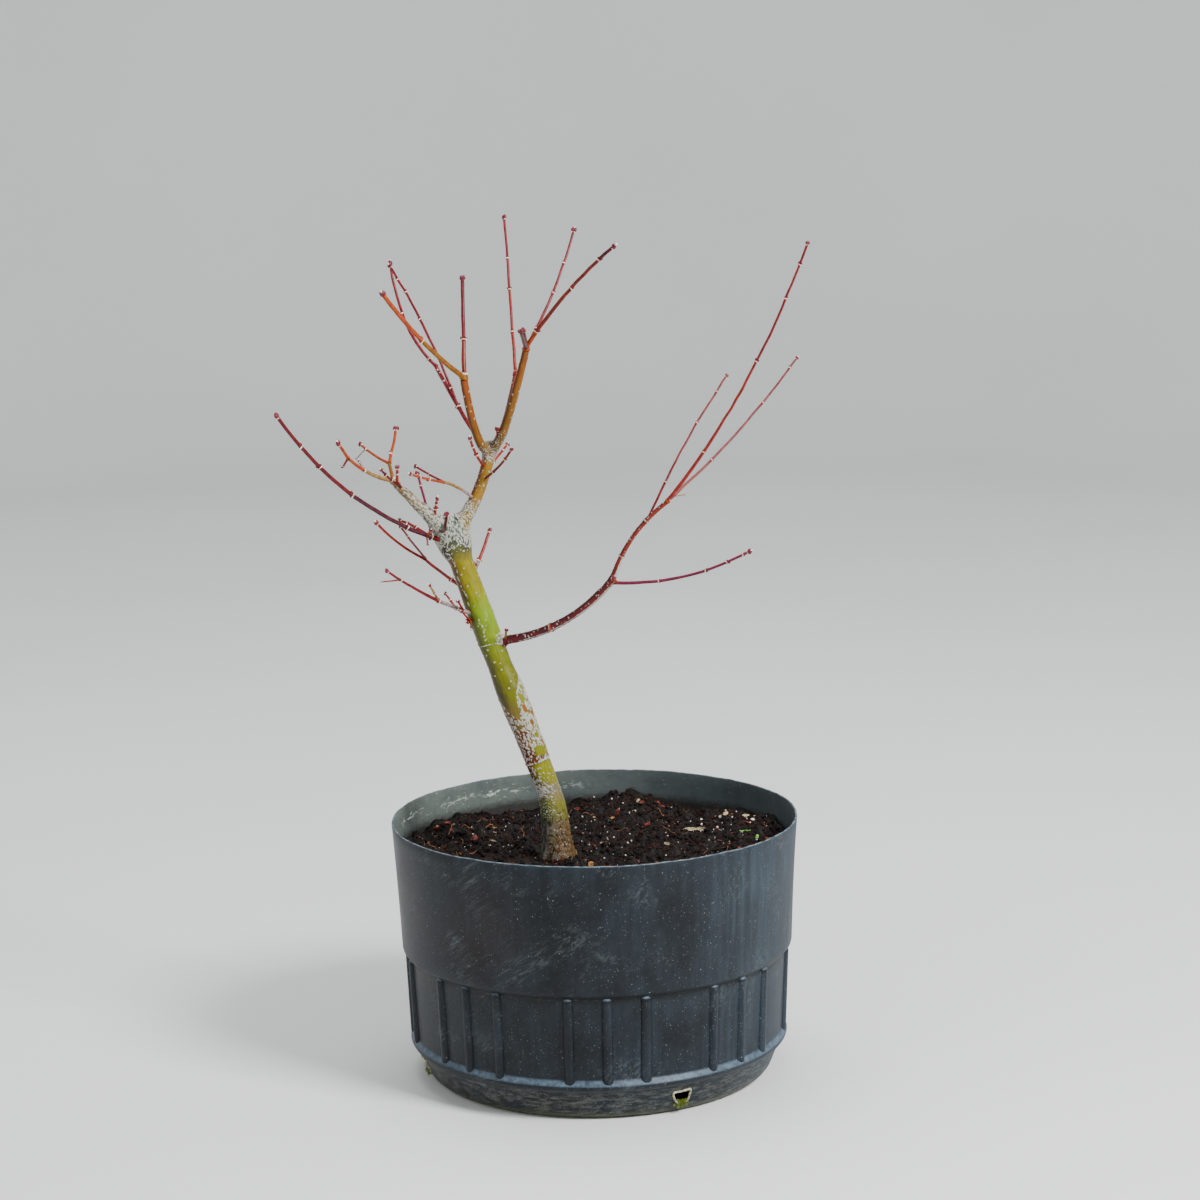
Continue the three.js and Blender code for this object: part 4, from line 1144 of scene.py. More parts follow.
def coir_fibres(count):
    """Short stiff fibres that stick out of the soil every way, thickest on its lumps."""
    rng = np.random.default_rng(SEED + 50)
    away, turn = 127 * np.sqrt(rng.uniform(size=count)), rng.uniform(0, 2 * math.pi, count)
    x, y = away * np.cos(turn), away * np.sin(turn)
    lines, lift = [], np.array([0, 0, 0.9])
    for place in np.stack([x, y, crumbly(x, y)], axis=1):
        way = rng.normal(size=3) * (1, 1, 0.8)
        way *= rng.uniform(2.0, 6.5) / np.linalg.norm(way)
        bow = place + rng.normal(size=3) * 0.4 + lift * 1.6
        lines.append(Line([place - way / 2 + lift, bow, place + way / 2 + lift]))
    return lines, rng.uniform(0.26, 0.56, count)


def dry_leaf(length, width, curl):
    """A dead scrap of leaf: a sheet pointed at both ends, curled, and given its thickness."""
    deselect()
    bpy.ops.mesh.primitive_grid_add(x_subdivisions=14, y_subdivisions=7, size=2)
    leaf = named("dry_leaf")
    points = points_of(leaf)
    along, across = points[:, 0], points[:, 1] * (1 - 0.85 * np.abs(points[:, 0]) ** 2.2)
    bend = curl * across * 1.6
    height = (1 - np.cos(bend)) / (curl * 1.6) * width / 2 + 0.12 * length * along**2
    height += 0.25 * noise(points * 3, 1, 5)
    side = np.sin(bend) / (curl * 1.6) * width / 2
    move_points(leaf, np.stack([along * length / 2, side, height], axis=1) * MM)
    modify(leaf, "SOLIDIFY", thickness=0.25 * MM, offset=0)
    return leaf


def set_down(piece, x, y, turn, tilt, lift):
    """Lays a piece on the soil at a place in millimetres."""
    ground = crumbly(np.array([float(x)]), np.array([float(y)]))[0] + lift
    piece.data.transform(Matrix.Translation(Vector((x, y, ground)) * MM)
                         @ Matrix.Rotation(math.radians(turn), 4, "Z")
                         @ Matrix.Rotation(math.radians(tilt), 4, "X"))


def moss_tufts(index):
    """Short leafy moss stems that spill from the foot of a drain hole."""
    _, turn = hole_ring(index)
    rng = np.random.default_rng(SEED + 60 + index)
    parts = []
    for _ in range(70 if index in (0, 3) else 30):
        across, low = np.clip(rng.normal(1.6, 2.4), -4.5, 6.0), HOLE_MIDDLE - 5.2 + rng.uniform(0, 2.6)
        root = np.array([across, -(outer_radius(low) - rng.uniform(0.2, 2.0)), low])
        droop = np.array([rng.normal(0, 0.9), -rng.uniform(1.2, 3.0), rng.uniform(-3.4, 1.2)])
        t = np.linspace(0, 1, 6)[:, None]
        line = Line(root + droop * t + np.array([0, 0, 1.2]) * t * (1 - t) * 2)
        parts.append(tube(line, np.linspace(0, 1, 4), [0.22, 0.2, 0.16, 0.08], 4))
        for share in np.linspace(0.25, 1, 5):
            middle, way = line.at(share), line.along(share)
            side = np.cross(way, rng.normal(size=3))
            side /= np.linalg.norm(side)
            tip = middle + side * rng.uniform(0.6, 1.1) + way * 0.7
            wide = np.cross(side, way) * 0.24
            leaf = np.array([middle - wide, middle + wide, tip, middle - way * 0.16])
            parts.append((leaf, ((0, 1, 2), (0, 3, 1), (0, 2, 3), (1, 3, 2))))
    points, faces = pooled(parts)
    return points @ np.array(Matrix.Rotation(turn, 3, "Z")).T, faces


# Bark of the trunk and the boughs

def stops(*rows):
    """Rows of a place and hex colours, as the places and one array of colours for each column."""
    places = [row[0] for row in rows]
    return places, [np.array([hexed(row[k])[:3] for row in rows]) for k in range(1, len(rows[0]))]


def skin_tone(place, rows, shaded_left_share):
    """The skin's colour at a place along a limb, from its right side to its left, which is darker partly as
    painted shade.
    """
    places, sides = rows
    right, left = (
        np.stack([np.interp(place, places, colours[:, k]) for k in range(3)], axis=1)
        for colours in sides
    )
    return mixed(right, left, shaded_left_share)


def blended_toward(tone, share, text):
    """Rows of colours, blended toward a hex colour by a share of each."""
    return mixed(tone, np.array(hexed(text)[:3]), share[:, None])


# The trunk's skin by height in millimetres: on its right and front, and on its left, darker partly in its own
# colour and partly as painted shade
TRUNK_SKIN = stops(
    (153, "4a3c26", "2e2a26"), (176, "54482e", "3a3630"), (182, "625a28", "44422a"),
    (190, "6e6a20", "4a4a24"), (197, "6c6034", "4c3e34"), (203, "6c6420", "4c3424"),
    (208, "727008", "54321a"), (216, "767808", "562616"), (219, "7a7614", "602212"),
    (232, "6e5a1e", "603a20"), (250, "6a5a20", "583c28"), (262, "5e5e0a", "3c3408"),
    (285, "606206", "3e3a08"), (300, "667406", "464a0c"), (318, "6c8604", "424608"),
    (335, "767206", "4c2e06"), (352, "786e08", "543606"), (362, "4e4c24", "3e3828"),
    (374, "8aa090", "5c6458"),
)
# Each other limb's skin by the share of its length, right and left, the left darker partly as painted shade,
# and its crust right and left
LIMB_SKIN = {
    "fork_left": (stops((0, "5a5834", "4c4434"), (1, "6e6a54", "544a3c")), (0, 1), (0.62, 0.66), (0.62, 0.7)),
    "fork_right": (stops((0, "5c5426", "463a26"), (1, "6e5a1a", "4e361e")), (0, 1), (0.6, 0.56), (0.66, 0.6)),
    "bough_left": (stops((0, "544c40", "3c342a"), (0.5, "746448", "4e4030"), (1, "7c5c2c", "543a1c")),
                   (0, 0.35, 0.6, 0.8, 1), (0.62, 0.58, 0.5, 0.4, 0.3), (0.62, 0.56, 0.45, 0.4, 0.3)),
    "bough_right": (stops((0, "6a5412", "4a2e1c"), (0.4, "785608", "56260c"), (1, "7c5a10", "5c2a0a")),
                    (0, 0.3, 0.42, 0.8, 0.88, 1), (0.5, 0.42, 0.04, 0.0, 0.5, 0.6),
                    (0.62, 0.58, 0.1, 0.0, 0.5, 0.6)),
    "bough_top_left": (stops((0, "6a4e14", "4c3212"), (0.3, "744604", "4c2806"), (1, "7c3a02", "522004")),
                       (0, 0.12, 0.22, 1), (0.45, 0.35, 0.0, 0.0), (0.5, 0.4, 0.0, 0.0)),
    "bough_top_right": (stops((0, "68480e", "482e0a"), (0.5, "764a02", "502a04"), (1, "783e02", "4e2404")),
                        (0, 0.2, 0.28, 1), (0.4, 0.3, 0.0, 0.0), (0.45, 0.35, 0.0, 0.0)),
    "bough_top_back": (stops((0, "6c2c14", "4c1a10"), (1, "7a2c1c", "541812")),
                       (0, 0.2, 0.3, 1), (0.4, 0.3, 0.0, 0.0), (0.4, 0.3, 0.0, 0.0)),
    "bough_low_right": (stops((0, "560612", "34030a"), (0.5, "5a0712", "36040a"), (1, "660c0c", "3c0608")),
                        (0, 0.03, 0.05, 1), (0.5, 0.4, 0.0, 0.0), (0.5, 0.4, 0.0, 0.0)),
    "bough_low_right_outer": (stops((0, "681a08", "42060e"), (1, "7c220a", "4c0a10")),
                              (0, 1), (0.0, 0.0), (0.0, 0.0)),
}
# Windows in the white crust on the trunk's right: height, turn in degrees, half height and half
# width in millimetres, and the colour that shows through
CRUST_WINDOWS = [
    (261.7, 38, 3.4, 2.1, "6e700a"), (254.6, 33, 3.0, 1.7, "7e4a08"), (245.3, 43, 2.3, 1.8, "7c4e0a"),
    (236.7, 44, 2.2, 2.0, "66680e"), (226.4, 31, 4.0, 4.2, "6e7008"), (251, 66, 2.2, 1.8, "7a4e10"),
    (241, 78, 2.4, 2, "6c7010"), (232, 62, 1.8, 1.5, "7a5010"), (268, 62, 2.4, 1.2, "7a7210"),
]
# The upper edge of the crust by the turn round the trunk: it dips to a point at the front
CRUST_EDGE = (
    (-180, -90, -44, -20, -3, 8, 21, 56, 90, 130, 180),
    (256, 262, 255, 250, 247, 255, 265, 273, 277, 266, 256),
)
# Heights of the white ring and of the fainter one above it, at the trunk's front
RING = 218.5
UPPER_RING = 297
# Where the low bough leaves the trunk, a collar of crust lies a little way off its start
COLLAR = (6.5, -2.6, 1.2)


def swollen(radius, limb, line, share, rise, wide):
    """A radius that swells by a share of itself at each joint of its limb, over that width."""
    for joint in limb["joints"]:
        radius = radius * (1 + rise * bell(share * line.length, joint * line.length, wide))
    return radius


def limb_radius(name, share):
    """The radius of a limb at a share, with a low swelling at each of its joints."""
    if name == "trunk":
        return np.interp(share, *zip(*TRUNK_WIDTHS)) / 2
    radius = width_at(LIMBS[name], share) / 2 * (0.92 if name == "bough_left" else 1)
    return swollen(radius, LIMBS[name], LINES[name], share, 0.16, 1.4)


LIMBS = {limb["name"]: limb for limb in FORKS + BOUGHS}


def nearest_on(line, points, batch=20000):
    """The share of a limb's line nearest to each point, and the axis there."""
    shares = np.linspace(0, 1, max(16, int(line.length / 1.6)))
    axis = line.at(shares)
    found = np.empty(len(points))
    for start in range(0, len(points), batch):
        part = points[start:start + batch]
        near = ((part[:, None] - axis[None]) ** 2).sum(axis=2).argmin(axis=1)
        slip = ((part - axis[near]) * line.along(shares[near])).sum(axis=1) / line.length
        found[start:start + batch] = np.clip(shares[near] + slip, 0, 1)
    return found, line.at(found)


def fused(gap, way, other_gap, other_way, soft):
    """Two distances out of a skin, and the ways out, run smoothly into each other."""
    mix = np.clip(0.5 + 0.5 * (gap - other_gap) / soft, 0, 1)
    return mixed(gap, other_gap, mix) - soft * mix * (1 - mix), mixed(way, other_way, mix[:, None])


def limb_field(points, margin=24):
    """For each point: how far it is outside the blended limbs, the way out, the nearest limb's
    number, and the share and axis point on it."""
    count = len(points)
    field, closest, share = np.full(count, 1e3), np.full(count, 1e3), np.zeros(count)
    owner, axis, way = np.zeros(count, int), np.zeros((count, 3)), np.zeros((count, 3))
    for i, (name, line) in enumerate(LINES.items()):
        low, high = line.points.min(axis=0) - margin, line.points.max(axis=0) + margin
        close = np.flatnonzero(((points > low) & (points < high)).all(axis=1))
        at, middle = nearest_on(line, points[close])
        out = points[close] - middle
        radius = limb_radius(name, at)
        if name == "trunk":
            radius = radius * root_flare(points[close], out)
        gap = np.linalg.norm(out, axis=1) - radius
        field[close], way[close] = fused(field[close], way[close], gap, unit(out), 1.1 * radius)
        nearer = gap < closest[close]
        mine = close[nearer]
        closest[mine], owner[mine] = gap[nearer], i
        share[mine], axis[mine] = at[nearer], middle[nearer]
    return field, unit(way), owner, share, axis


def turned(out):
    """Degrees round the trunk: 0 at the front, 90 at the right."""
    return np.degrees(np.arctan2(out[:, 0], -out[:, 1]))


def lobe(turn, middle, wide):
    """1 at that turn, falling away over wide degrees on both sides."""
    return bell((turn - middle + 180) % 360 - 180, 0, wide)


def root_flare(points, out):
    """How much the trunk's foot swells into roots that dip under the soil."""
    turn = turned(out)
    roots = (lobe(turn, 100, 30) + 0.8 * lobe(turn, -62, 26) + 0.6 * lobe(turn, 22, 22)
             + 0.8 * lobe(turn, 180, 34))
    low = 1 - ease(points[:, 2], SOIL_LEVEL - 3, SOIL_LEVEL + 17)
    return 1 + low**1.6 * (0.24 * roots - 0.12)


def saddle(points):
    """The callus that fills the fork into a wide saddle."""
    left, right = LINES["fork_left"].at(0.8), LINES["fork_right"].at(0.8)
    middle = (left + right) / 2 - (0, 0, 5)
    out = points - middle
    far = np.linalg.norm(out * (0.62, 0.95, 1), axis=1)
    return far - 5.8, out / np.maximum(far, 1e-6)[:, None]


def bark_mesh(grain, sides=28, deep=7.5):
    """The trunk and boughs as one closed skin: tubes fused, then drawn onto their blended field. The
    trunk's foot is sunk into the soil by deep."""
    parts = []
    for name, line in LINES.items():
        shares = np.linspace(0, 1, max(8, int(line.length / 1.5)))
        own, rings = tube(line, shares, limb_radius(name, shares), sides)
        if name == "trunk":
            own[:sides + 1, 2] -= deep
        parts.append((own, rings))
    skin = gathered("maple_bark", parts)
    skin.data.remesh_voxel_size = grain
    skin.data.remesh_voxel_adaptivity = 0
    only(skin)
    bpy.ops.object.voxel_remesh()
    points = points_of(skin) / MM
    buried = points[:, 2] < SOIL_LEVEL - 2
    for _ in range(5):
        field, way, *_ = limb_field(points)
        gap, way = fused(field, way, *saddle(points), 3.5)
        step = np.clip(gap, -1.2, 1.2)[:, None] * unit(way)
        step[buried, 2] = 0
        points = points - step
    move_points(skin, points * MM)
    return skin


def dots(around, along, spacing, size, seed):
    """1 in small round dots, one for most cells of a grid on the skin, all in millimetres."""
    cell = np.floor(np.stack([around, along, along * 0], axis=1) / spacing).astype(np.int64)
    found = np.zeros(len(cell))
    for step in itertools.product((-1, 0, 1), (-1, 0, 1), (0,)):
        own = cell + step
        right, up, grown = (dealt(own, seed + k) for k in range(3))
        away = np.hypot(around - (own[:, 0] + 0.5 + 0.45 * right) * spacing,
                        along - (own[:, 1] + 0.5 + 0.45 * up) * spacing)
        radius = size * (1 + 0.4 * grown) * (right * up < 0.25)
        found = np.maximum(found, 1 - ease(away, radius * 0.7, radius * 1.3 + 1e-6))
    return found


def limb_marks(name, p):
    """The colour, crust and rise of the bark on a fork arm or a bough."""
    skin, at, right, left = LIMB_SKIN[name]
    low_bough = name == "bough_low_right"
    tone = skin_tone(p.share, skin, p.left)
    amount = mixed(np.interp(p.share, at, right), np.interp(p.share, at, left), p.left[:, 0])
    # A share of crust becomes the depth in its flecks from which it shows
    level = 0.58 - 0.95 * amount
    crust = ease(p.speck, level - 0.07, level + 0.07) * (amount > 0.02)
    crust = np.maximum(crust, p.fine_seeds * 0.75 if name.startswith("bough_low") else p.seeds * 0.9)
    raised = np.zeros(len(crust))
    if low_bough:
        # A pale waxy line runs along the underside
        under = bell(-p.out[:, 2] / np.linalg.norm(p.out, axis=1), 0.62, 0.14) * ease(p.share, 0.15, 0.25)
        crust = np.maximum(crust, 0.75 * under * ease(p.speck, -0.6, -0.1))
    if name == "bough_low_right_outer":
        # The skin is split and peeled white for a short way on the right
        right_side = ease(np.sin(np.radians(p.turn)), 0.1, 0.5)
        peeled = right_side * (1 - ease(np.abs(p.share - 0.15), 0.09, 0.13))
        crust = np.maximum(crust, peeled)
        raised -= 0.5 * peeled
    # Joints leave a ring with a dark crease beside it, an orange one on the low bough
    for joint in LIMBS[name]["joints"]:
        away = p.far - joint * LINES[name].length
        ring = bell(away, 0, 0.55)
        crust = np.maximum(crust, ring * ease(p.speck, -0.6, 0) * (0.55 if low_bough else 0.9))
        tone = blended_toward(tone, bell(away, 0, 1) * (low_bough and joint > 0.2), "8a3414")
        raised += 0.3 * ring - 0.25 * bell(away, 1.2, 0.5)
    return tone, crust, raised


def trunk_marks(p):
    """The same on the trunk, where each mark has its own height z and its own turn phi."""
    z, phi, mark, rough = p.points[:, 2], p.turn, p.speck, p.patch
    # The middle of the trunk is scaly white over brown, up to an edge that dips at the front
    top = np.interp(phi, *CRUST_EDGE) + 1.2 * rough
    band = window(z, 222 + 2 * rough, 226 + 2 * rough, top - 0.8, top + 0.4)
    brown = band * ease(noise(p.points, 3.4, 16), -0.1, 0.35) * (1 - ease(phi, 0, 30))
    coats = [(0.85 * brown, "5c2412")]
    solid = ease(phi + 10 * rough, 2, 20) * (1 - ease(phi, 110, 140)) * ease(z, 229, 233)
    level = 0.14 + 0.2 * rough - 0.24 * solid
    crust = band * ease(mark, level - 0.07, level + 0.08)
    edge = bell(z - top, -0.6, 0.55) * ease(z, 240, 245)
    crust = np.maximum(crust, edge * (0.5 + 0.4 * ease(mark, -0.1, 0.2)))
    for height, at, tall, wide, text in CRUST_WINDOWS:
        across = np.radians(phi - at) * 8.6
        away = np.hypot((z - height) / tall, across / wide) + 0.3 * mark
        inside = 1 - ease(away, 0.85, 1.1)
        crust *= 1 - inside
        coats.append((inside, text))
    # Reddish-brown window with white dashes on the left and middle, and a red line on the right
    red = ease(z, 216.5, 218.5) * (1 - ease(z + rough, 225, 228)) * (1 - ease(phi, 2, 16))
    red = np.maximum(red, window(z, 219, 220, 222.5, 224) * window(phi, 5, 12, 88, 96))
    crust = mixed(crust, ease(mark, 0.14, 0.3), red)
    # Below the ring: white dashes thin out to the right, over yellow-green skin
    reach = np.interp(phi, (-180, -60, 0, 25, 90, 180), (0.22, 0.04, 0.08, 0.4, 0.56, 0.22))
    reach += 0.16 * (1 - ease(z, 188, 196)) - 0.3 * bell(z, 199.5, 3.8)
    dashes = 0.8 * window(z, 178, 184, 214.5, 216.5) * ease(mark, reach + 0.02, reach + 0.2)
    crust = np.maximum(crust, dashes)
    grey = bell(z, 199, 4.2) * ease(rough, -0.7, 0.1)
    moss = window(z + 3 * rough, 179, 182, 190, 194) * ease(rough, -0.45, 0.1)
    moss *= (1 - ease(phi, 40, 80)) * ease(-mark, -0.2, 0.1)
    coats += [(0.9 * red, "561408"), (0.75 * grey, "665e56"), (0.7 * moss, "4a5e12")]
    # A white ring, a fainter one higher up, and a ragged line of specks up to the fork
    ring = bell(z - RING, 3 * np.sin(np.radians(phi)), 0.6)
    upper = bell(z - UPPER_RING, 1.2 * np.sin(np.radians(phi * 2 + 40)), 0.42)
    dotted = upper * ease(mark + 0.5 * rough, 0, 0.25)
    sway = 4 * np.sin(z * 0.3) + 3 * np.sin(z * 0.83)
    line = bell(np.radians(phi + 34 + sway) * 8, 0, 0.8) * ease(z, 318, 326) * ease(mark, 0.12, 0.3)
    drops = bell(np.radians(phi + 12 + sway) * 8, 0, 0.8) * window(z, 296, 302, 322, 326)
    for laid in (ring * ease(mark, -0.5, -0.1), 0.9 * dotted, line, 0.9 * drops * ease(mark, 0.1, 0.25),
                 0.95 * p.seeds * window(z, 264, 268, 352, 356)):
        crust = np.maximum(crust, laid)
    # The crust of the fork: dashes, over olive skin at the front
    low = np.interp(phi, (-180, -60, -30, 0, 60, 180), (356, 353, 355.5, 358.5, 361, 356))
    fork = ease(z + rough, low - 0.6, low + 0.8)
    bare = bell(phi + 9 * rough, 4, 26) * (1 - ease(z, 362, 366))
    gaps = 0.1 + 0.26 * bare - 0.16 * ease(z, 362, 371)
    crust = mixed(crust, ease(flecks(p.drawn, 1.0, 9) + 0.2 * rough - gaps, 0, 0.14), fork)
    coats += [(0.75 * fork * (1 - bare), "1e1912"), (0.6 * fork * bare, "4c4e14")]
    # Old bark by the soil: fine cracks between flat plates, painted black as painted shade, with orange-brown
    # flecks and some moss
    old = 1 - ease(z + 4 * rough, 180, 192)
    crack = 1 - ease(np.abs(noise(p.points * (1, 1, 0.26), 1.35, 14)), 0.03, 0.2)
    plates = old * (1 - crack) * ease(noise(p.points * (1, 1, 0.4), 1.3, 17), -0.2, 0.4)
    orange = (1 - ease(z + 5 * rough, 172, 184)) * ease(mark, 0.12, 0.3) * ease(phi, -30, 30)
    green = (1 - ease(z + 3 * rough, 157, 163)) * ease(-phi, -5, 25) * ease(rough, -0.3, 0.2)
    # The black laid in the cracks is painted shade in their recesses
    coats += [(0.6 * plates * (1 - ease(phi, 0, 60)), "67625a"), (0.72 * old * crack, "000000"),
              (0.8 * orange, "663a08"), (0.75 * green, "2e4210")]
    crust = crust * (1 - 0.8 * green)
    crust = np.maximum(crust, 0.5 * old * ease(mark, 0.4, 0.52) * (1 - green))
    raised = old * (0.5 * rough - 1.1 * crack) + 0.7 * ring + 0.5 * dotted + 0.4 * orange - 0.5 * red
    tone = skin_tone(z, TRUNK_SKIN, p.left)
    for share, text in coats:
        tone = blended_toward(tone, share, text)
    return tone, np.clip(crust, 0, 1), raised


def bark_marks(points, out, owner, share):
    """The colour of the skin, how much crust lies on it and how far it stands out, at each point."""
    far, ways = np.zeros(len(points)), np.zeros((len(points), 3))
    for i, line in enumerate(LINES.values()):
        mine = owner == i
        far[mine], ways[mine] = share[mine] * line.length, line.along(share[mine])
    turn, patch = turned(out), noise(points, 7, 1) * 0.6 + noise(points, 3, 2) * 0.4
    around = np.radians(turn) * np.linalg.norm(out, axis=1)
    drawn = points - 0.55 * (points * ways).sum(axis=1)[:, None] * ways
    # Each point's left share gives it the darker left skin, partly painted shade
    fields = {
        "points": points, "out": out, "share": share, "far": far, "turn": turn, "patch": patch,
        "drawn": drawn, "speck": flecks(drawn, 1.15, 3) + 0.16 * noise(drawn, 0.6, 4) + 0.12 * patch,
        "left": ease(-np.sin(np.radians(turn)) + 0.2 * patch, 0.05, 0.8)[:, None],
        "seeds": dots(around, far, 6.4, 0.52, 30), "fine_seeds": dots(around, far, 2.2, 0.36, 40),
    }
    tint, crust, raised = np.zeros_like(points), np.zeros(len(points)), np.zeros(len(points))
    for i, name in enumerate(LINES):
        mine = owner == i
        part = SimpleNamespace(**{key: values[mine] for key, values in fields.items()})
        marks = trunk_marks(part) if name == "trunk" else limb_marks(name, part)
        tint[mine], crust[mine], raised[mine] = marks
    # The saddle between the arms is smooth callus, almost white
    gap, _ = saddle(points)
    callus = 1 - ease(gap + 1.4 * patch, 1.8, 4.0)
    callus *= ease(points[:, 2] - LINES["trunk"].points[-1, 2], -4.5, -2)
    crust = mixed(crust, 0.46 * ease(patch, -0.3, 0.5), callus)
    return blended_toward(tint, callus, "b4c0ba"), crust, raised


def dress_bark(skin, relief):
    """Raises the crust and cracks from the skin and keeps each point's colour and crust."""
    points = points_of(skin) / MM
    _, _, owner, share, axis = limb_field(points)
    out = points - axis
    tint, crust, raised = bark_marks(points, out, owner, share)
    away = np.linalg.norm(points - LINES["bough_low_right"].at(0) - COLLAR, axis=1)
    crust = np.maximum(crust, (1 - ease(away, 4, 6.5)) * ease(noise(points, 1.3, 15), -0.25, 0.1))
    height = crust * (0.8 + 0.4 * noise(points, 1.6, 5)) + raised + 0.25 * noise(points, 5, 6)
    height[points[:, 2] < SOIL_LEVEL - 4] = 0
    height *= relief / MM
    move_points(skin, (points + points_of(skin, "normal") * height[:, None]) * MM)
    # Each limb's grain is read from its own stretch of the pattern
    far = share * np.array([line.length for line in LINES.values()])[owner] + 150 * owner
    unbent = np.stack([out[:, 0], out[:, 1] + out[:, 2] * 0.3, far], axis=1) * MM
    put_attribute(skin, "tint", "FLOAT_COLOR", np.column_stack([tint, np.ones(len(tint))]))
    put_attribute(skin, "crust", "FLOAT", crust)
    put_attribute(skin, "unbent", "FLOAT_VECTOR", unbent)


# Twigs, buds and scars

def turned_about(vector, axis, angle):
    """A vector turned about an axis, by Rodrigues's formula."""
    sideways, kept = np.cross(axis, vector), axis * (axis @ vector)
    return vector * math.cos(angle) + sideways * math.sin(angle) + kept * (1 - math.cos(angle))


def shoot_radii(one, line, shares):
    """The radius along a shoot: its taper, a swollen butt, and a swelling at each joint. The thin
    ones are drawn finer than the source's plain rods."""
    width = width_at(one, shares)
    radius = swollen(width / 2 * (0.92 - 0.07 * ease(width, 2.3, 4)), one, line, shares, 0.4, 0.8)
    return radius * (1 + 0.35 * bell(shares * line.length, 0, 2.2))


def shoot_shares(one, line):
    """Where a shoot's rings lie: close together at joints and ends, and about 2 mm apart between."""
    wanted = list(np.linspace(0, 1, max(4, int(line.length / 2.2))))
    for joint in one["joints"]:
        wanted += [joint + step / line.length for step in (-1.3, -0.6, -0.3, 0, 0.3, 0.6, 1.3)]
    wanted = sorted(share for share in wanted if 0 <= share <= 1)
    kept = [0.0]
    for share in wanted:
        if (share - kept[-1]) * line.length > 0.22:
            kept.append(share)
    kept[-1] = 1.0
    return np.array(kept)


def swayed(points, count):
    """Points of a shoot moved a little off its smooth line, each shoot in its own way."""
    return points + 0.3 * np.stack([noise(points + k * 31, 9, count) for k in range(3)], axis=1)


def bud_places(one, line, count, last):
    """Where buds sit on a shoot, as (place, direction, whether at the tip), by the source's rule."""
    found = []
    for i, joint in enumerate(one["joints"]):
        place, along = line.at(joint), line.along(joint)
        radius = float(width_at(one, joint)) / 2
        across = np.cross((1, 0, 0), along)
        across /= np.linalg.norm(across)
        across = turned_about(across, along, chance(count) * math.pi + i * math.pi / 2)
        for way in (1, -1):
            found.append((place + across * way * radius * 0.85, along * 0.9 + across * 0.42 * way, False))
    if last:
        place, along = line.at(1), line.along(1)
        across = np.cross((0.3, 1, 0.1), along)
        across = turned_about(across / np.linalg.norm(across), along, chance(count + 0.5) * math.pi)
        for way in (1, -1):
            found.append((place + across * way * 0.45 - along * 0.6, along + across * 0.14 * way, True))
    return [(swayed(place[None], count)[0], way / np.linalg.norm(way), tip) for place, way, tip in found]


def turned_shape(height, rings, sides, low=0.0):
    """A small round shape that stands on its foot, from (share of its height, radius) rows."""
    shares, radii = zip(*rings)
    return tube(Line([(0, 0, low), (0, 0, height)]), np.array(shares), radii, sides)


def winter_bud(plump):
    """A winter bud: an egg with a drawn-out point, one unit long."""
    rings = ((0.0, 0.16), (0.1, 0.27), (0.28, 0.34), (0.5, 0.32), (0.72, 0.2), (0.9, 0.07))
    return turned_shape(1, [(share, radius * plump) for share, radius in rings], 7)


def stood(shape, size, place, direction, twist=0.0):
    """A shape turned to stand along a direction at a place."""
    points, faces = shape
    turn = Vector((0, 0, 1)).rotation_difference(Vector(direction)).to_matrix()
    turn = turn @ Matrix.Rotation(twist, 3, "Z")
    return (points * size) @ np.array(turn).T + place, faces


def shoot_slots(one, line, shares, tints):
    """The slot of each ring of faces: its tint by the stretch between joints, or a joint's scar."""
    slots = []
    for middle in (shares[:-1] + shares[1:]) / 2:
        if any(abs(middle - joint) * line.length < 0.34 for joint in one["joints"]):
            slots.append(len(tints))
            continue
        stretch = sum(middle > joint for joint in one["joints"])
        part = (stretch + 0.5) / (len(one["joints"]) + 1) if one["joints"] else middle
        pick = min(int(part * len(one["tint"])), len(one["tint"]) - 1)
        slots.append(tints.index(one["tint"][pick]))
    return slots


# Operators

class MAPLE_OT_pot(bpy.types.Operator):
    """Builds the pot: its wall drawn out from one ring, its ribs, and its torn drain holes"""

    bl_idname = "maple.pot"
    bl_label = "Pot"

    def execute(self, context):
        s = context.scene.maple_pot
        wall = pot_wall(s.sides)
        combine(wall, pot_ribs(), "UNION")
        for index in range(len(HOLES_DEG)):
            combine(wall, hole_cutter(index), "DIFFERENCE")
        # The rim's top is paler: partly its cut face, partly a painted highlight
        edge = plain_finish("cut_polypropylene_edge_and_highlight", "2c363c", "6a777c", 3.5, roughness=0.7)
        finishes = (weathered_polypropylene(s), limed_polypropylene(), edge)
        wall.data.materials.clear()
        for material in finishes:
            wall.data.materials.append(material)
        for face in wall.data.polygons:
            middle = face.center / MM
            within = middle.xy.length < outer_radius(middle.z) - 0.6 and middle.z > FLOOR * 0.5
            face.material_index = 2 if middle.z > RIM_HEIGHT - 0.25 else int(within)
        # The thin wall wavers a little, and its cut rim rises and dips
        points = oval_top(points_of(wall))
        flat = points * (1, 1, 0)
        waver = noise(points / MM * (1, 1, 0.5), 34, 21) * s.wobble * ease(points[:, 2], 0.03, 0.12)
        points += unit(flat) * waver[:, None]
        rim = ease(points[:, 2], 0.168, RIM_HEIGHT * MM)
        points[:, 2] += rim * (0.35 * noise(flat / MM, 26, 22) + 0.2 * noise(flat / MM, 5, 23) - 0.3) * MM
        move_points(wall, points)
        only(wall)
        bpy.ops.object.shade_smooth_by_angle(angle=math.radians(32))
        give(wall, "pot_plastic", "pot")
        return {"FINISHED"}


